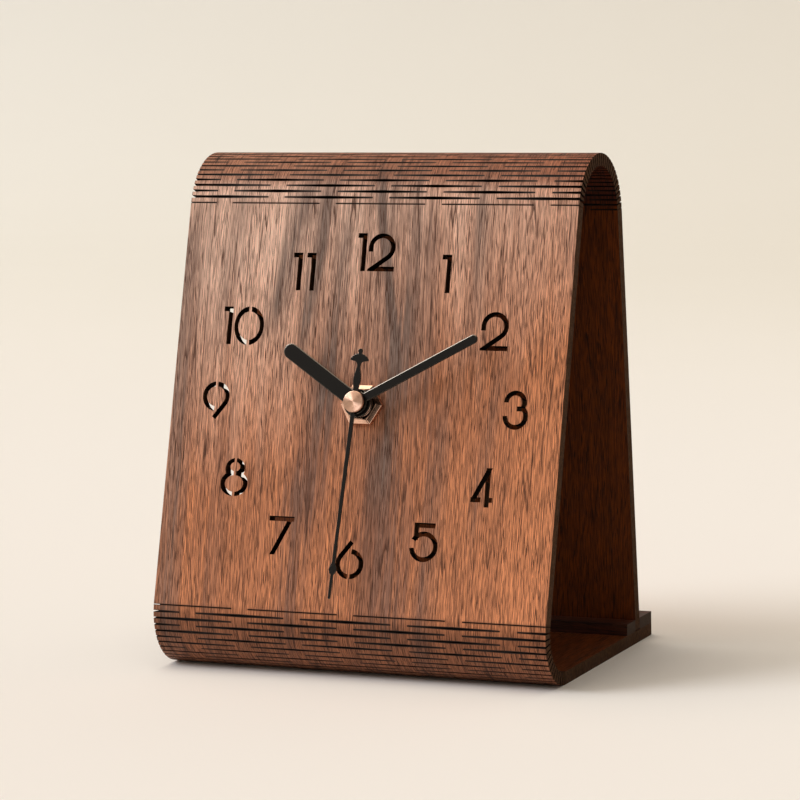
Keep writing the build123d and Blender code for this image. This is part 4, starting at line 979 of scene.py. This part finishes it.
# The plain finishes of the movement: nodes, material name, what it is, colours, roughness, fleck
# size and bump height in millimetres, and then metal share, gloss level and coat
movement_finishes = (
    # Moulded ABS, spark-eroded mould: an even, fine, dull texture
    (
        ("front_shell", "rear_cover", "setting_knob"),
        "moulded_black_abs", "#1C1B1B", "#262525", 0.55, 0.25, 0.02, 0.0, 0.4,
    ),
    # Rubber, moulded: soft black with a dusty bloom
    (("rubber_gasket",), "moulded_black_rubber", "#171615", "#2A2826", 0.8, 0.6, 0.02, 0.0, 0.25),
    # Acetal, moulded: milky white with a soft shine
    (
        (
            "rotor_pinion", "intermediate_wheel", "second_wheel", "third_wheel", "centre_wheel",
            "motion_wheel", "hour_wheel",
        ),
        "moulded_white_acetal", "#E6E3D8", "#D9D5C6", 0.35, 0.8, 0.005,
    ),
    # Polystyrene, moulded: a duller off-white plate
    (("train_bridge",), "moulded_bridge_plastic", "#D7D5CB", "#C7C4B8", 0.45, 1.2, 0.01, 0.0, 0.45),
    # Steel, turned and zinc-plated: grey with fine tool marks
    (
        ("bridge_screws", "second_arbor"),
        "zinc_plated_steel_turned", "#A9A9A6", "#8C8C8A", 0.32, 0.15, 0.004, 1.0,
    ),
    # Nickel-iron sheet, stamped and annealed: dull silver with heat cloud
    (("stator", "coil_core"), "annealed_nickel_iron_sheet", "#9F9B93", "#86827A", 0.4, 0.5, 0.006, 1.0),
    # Ferrite, pressed and sintered: dark grey and granular
    (("rotor_magnet",), "sintered_magnet", "#3A3A3C", "#565658", 0.6, 0.12, 0.02, 0.3),
    # Nylon, moulded: green bobbin with a soft shine
    (("coil_bobbin",), "moulded_green_nylon", "#2F5A3B", "#3A6A47", 0.45, 0.5, 0.008),
    # Phenolic paper laminate, punched: brown with pale fibres
    (("circuit_board",), "phenolic_paper_laminate", "#8A6435", "#A57C48", 0.5, 0.35, 0.01, 0.0, 0.45, 0.2),
    # Epoxy, poured over the chip: glossy black drop
    (("chip_cover",), "poured_black_epoxy", "#101010", "#1B1A1A", 0.18, 0.7, 0.0, 0.0, 0.5, 0.3),
    # Steel can, drawn and nickel-plated: bright with slight smears
    (("quartz_crystal",), "drawn_nickel_can", "#C9C8C4", "#B5B3AE", 0.18, 0.9, 0.0, 1.0),
    # Spring steel strip, nickel-plated: bright with rolling marks
    (
        ("contact_positive", "contact_negative"),
        "nickel_plated_spring_strip", "#C6C3BB", "#A8A59D", 0.25, 0.3, 0.003, 1.0,
    ),
)


class CLOCK_OT_movement(bpy.types.Operator):
    """Give the movement's case, train, motor and circuit their finishes"""

    bl_idname = "clock.movement"
    bl_label = "Finish the movement"

    def execute(self, context):
        for nodes, *finish in movement_finishes:
            made = speckled_material(*finish)
            for node in nodes:
                dress(node, made)
        dress("coil_winding", winding_material())
        dress("minute_tube", brass_material(context.scene.clock_colours, "turned_brass_tube", 0.28, 0.0))
        return {"FINISHED"}


class CLOCK_OT_battery(bpy.types.Operator):
    """Make the battery cell with its plain sleeve and metal ends"""

    bl_idname = "clock.battery"
    bl_label = "Make the battery"

    def execute(self, context):
        low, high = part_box("battery_cell")
        # PVC film, shrunk on: smooth dark grey with a soft gloss
        sleeve = speckled_material("shrunk_pvc_sleeve", "#2B2D31", "#33363B", 0.28, 3.0, 0.0, 0.0, 0.5, 0.3)
        # Steel cap, drawn and nickel-plated: bright with slight smears
        metal = speckled_material("nickel_plated_cell_end", "#C9C7C1", "#B3B0A9", 0.22, 0.8, 0.0, 1.0)
        # The cell's axis runs along x, through the middle of its box
        place = Matrix.Translation(Vector((low.x, (low.y + high.y) / 2, (low.z + high.z) / 2)))
        place @= Matrix.Rotation(pi / 2, 4, "Y")
        radius, body, nub = 7.1, 49.0, 2.75
        profile = [(0.0, 0.15), (5.2, 0.15), (5.6, 0.35), (5.9, 0.0)]
        profile += [(radius - 0.5, 0.0), (radius - 0.12, 0.14), (radius, 0.5), (radius, body - 0.5)]
        profile += [(radius - 0.12, body - 0.14), (radius - 0.5, body), (5.6, body), (5.4, body - 0.25)]
        profile += [(nub + 0.5, body - 0.25), (nub + 0.1, body), (nub, body + 0.3), (nub, body + 0.95)]
        profile += [(nub - 0.25, body + 1.2), (0.0, body + 1.2)]
        # Metal at both ends and the sleeve between
        bands = [1] * 3 + [0] * 7 + [1] * 7
        piece = turned_piece("battery_cell_sleeved", profile, place, [sleeve, metal], 72, bands)
        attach(piece, "battery")
        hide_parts("battery_cell")
        return {"FINISHED"}


def lay_backdrop(scene):
    """Paper on the floor that sweeps up into a wall behind, in metres."""
    half_width, front, sweep_start, sweep_radius, wall_top = 4.0, -3.0, 1.6, 0.8, 3.5
    side = [(front, 0.0), (-0.5, 0.0), (0.5, 0.0), (sweep_start, 0.0)]
    side += ring(sweep_radius, 13, -pi / 2, pi / 2, (sweep_start, sweep_radius))[1:]
    side += [(sweep_start + sweep_radius, wall_top)]
    shape = bmesh.new()
    rows = [[shape.verts.new((x, y, z)) for x in (-half_width, half_width)] for y, z in side]
    for first, second in zip(rows, rows[1:]):
        shape.faces.new((*first, *reversed(second))).smooth = True
    mesh = bpy.data.meshes.new("backdrop_sweep")
    shape.to_mesh(mesh)
    shape.free()
    paper = floor_material(scene.clock_colours)
    floor = put_in_scene("backdrop_sweep", mesh, [paper], Matrix.Identity(4))


def hang_lamps(scene):
    """Two soft lamps: the key from the front left and a broad one overhead."""
    # Name, the way to it, strength, spread in degrees and tint
    for name, toward, strength, spread, tint in (
        ("key_softbox", (-0.684, -0.428, 0.591), 1.34, 28, "#F6FAFF"),
        ("overhead_softbox", (-0.25, -0.1, 1.0), 1.38, 60, "#FFF2DF"),
    ):
        data = bpy.data.lights.new(name, "SUN")
        data.energy = strength
        data.angle = radians(spread)
        data.color = linear(tint)
        lamp = bpy.data.objects.new(name, data)
        scene.collection.objects.link(lamp)
        lamp.rotation_euler = Vector(toward).to_track_quat("Z", "Y").to_euler()


def fill_air(scene):
    """Soft light from all round: more from the left, little from the right, none from below."""
    scene.world = bpy.data.worlds.new("studio_air")
    scene.world.use_nodes = True
    scene.world.node_tree.nodes.clear()
    add = partial(add_node, scene.world.node_tree)
    direction = add("TexCoord", output="Generated")
    sideways = add("SeparateXYZ", (direction,), "X")
    upward = add("SeparateXYZ", (direction,), "Z")
    level = add("MapRange", (sideways, -0.6, 0.7, 0.5, 0.14), **SMOOTH)
    mirrored = add("MapRange", (sideways, -0.6, 0.35, 0.65, 0.06), **SMOOTH)
    above_edge = add("MapRange", (upward, -0.08, 0.06, 0.06, 1.0), **SMOOTH)
    seen = add("LightPath", output="Is Camera Ray")
    glossy = add("LightPath", output="Is Glossy Ray")
    strength = add("Mix", (glossy, None, level, mirrored))
    strength = add("Math.MULTIPLY", (strength, above_edge))
    strength = add("Mix", (seen, None, strength, 0.9))
    air = add("Background", {"Color": "#FFF3E2", "Strength": strength})
    add("OutputWorld", {"Surface": air})


def set_camera(scene):
    """The photo's camera, fitted to the clock's edges and kerf rows."""
    azimuth, elevation, roll = radians(22.9108), radians(7.0785), radians(-1.1376)
    place = Vector((0.40534, -0.970, 0.21018))
    focal_pixels, picture_pixels, sensor_width = 3338.61, 800, 36
    away = Vector((sin(azimuth) * cos(elevation), -cos(azimuth) * cos(elevation), sin(elevation)))
    right = (-away).cross(Vector((0, 0, 1))).normalized()
    up = right.cross(-away)
    tilted_right = cos(roll) * right + sin(roll) * up
    tilted_up = cos(roll) * up - sin(roll) * right
    data = bpy.data.cameras.new("camera")
    data.sensor_width = sensor_width
    data.lens = focal_pixels / picture_pixels * sensor_width
    data.clip_start = 0.05
    data.clip_end = 20
    camera = bpy.data.objects.new("camera", data)
    scene.collection.objects.link(camera)
    axes = Matrix((tilted_right, tilted_up, away)).transposed()
    camera.matrix_world = Matrix.Translation(place) @ axes.to_4x4()
    scene.camera = camera


class CLOCK_OT_stage(bpy.types.Operator):
    """Lay the cream backdrop, hang the lamps and set the camera"""

    bl_idname = "clock.stage"
    bl_label = "Set the stage"

    def execute(self, context):
        context.scene.view_settings.view_transform = "Standard"
        for step in (lay_backdrop, hang_lamps, fill_air, set_camera):
            step(context.scene)
        return {"FINISHED"}


class CLOCK_PT_panel(bpy.types.Panel):
    """The clock's sizes, colours and pieces in the 3D view's sidebar"""

    bl_idname = "CLOCK_PT_panel"
    bl_label = "Folded walnut clock"
    bl_space_type = "VIEW_3D"
    bl_region_type = "UI"
    bl_category = "Clock"

    def draw(self, context):
        for group in (context.scene.clock_sheet, context.scene.clock_hands, context.scene.clock_colours):
            column = self.layout.column(align=True)
            for name in group.bl_rna.properties.keys():
                if name not in {"rna_type", "name"}:
                    column.prop(group, name)
        for operator in operators:
            self.layout.operator(operator.bl_idname)


operators = (
    CLOCK_OT_bent_sheet,
    CLOCK_OT_char,
    CLOCK_OT_foot_strips,
    CLOCK_OT_hands,
    CLOCK_OT_cap,
    CLOCK_OT_nut,
    CLOCK_OT_movement,
    CLOCK_OT_battery,
    CLOCK_OT_stage,
)
groups = (
    ("clock_sheet", ClockSheetSizes),
    ("clock_hands", ClockHandSizes),
    ("clock_colours", ClockColours),
)


def register():
    for name, group in groups:
        bpy.utils.register_class(group)
        setattr(bpy.types.Scene, name, bpy.props.PointerProperty(type=group))
    for one in (*operators, CLOCK_PT_panel):
        bpy.utils.register_class(one)


def unregister():
    for one in (CLOCK_PT_panel, *reversed(operators)):
        bpy.utils.unregister_class(one)
    for name, group in reversed(groups):
        delattr(bpy.types.Scene, name)
        bpy.utils.unregister_class(group)


def main():
    """Builds everything in order."""
    register()
    for operator in operators:
        family, step = operator.bl_idname.split(".")
        getattr(getattr(bpy.ops, family), step)()


if __name__ == "__main__":
    main()
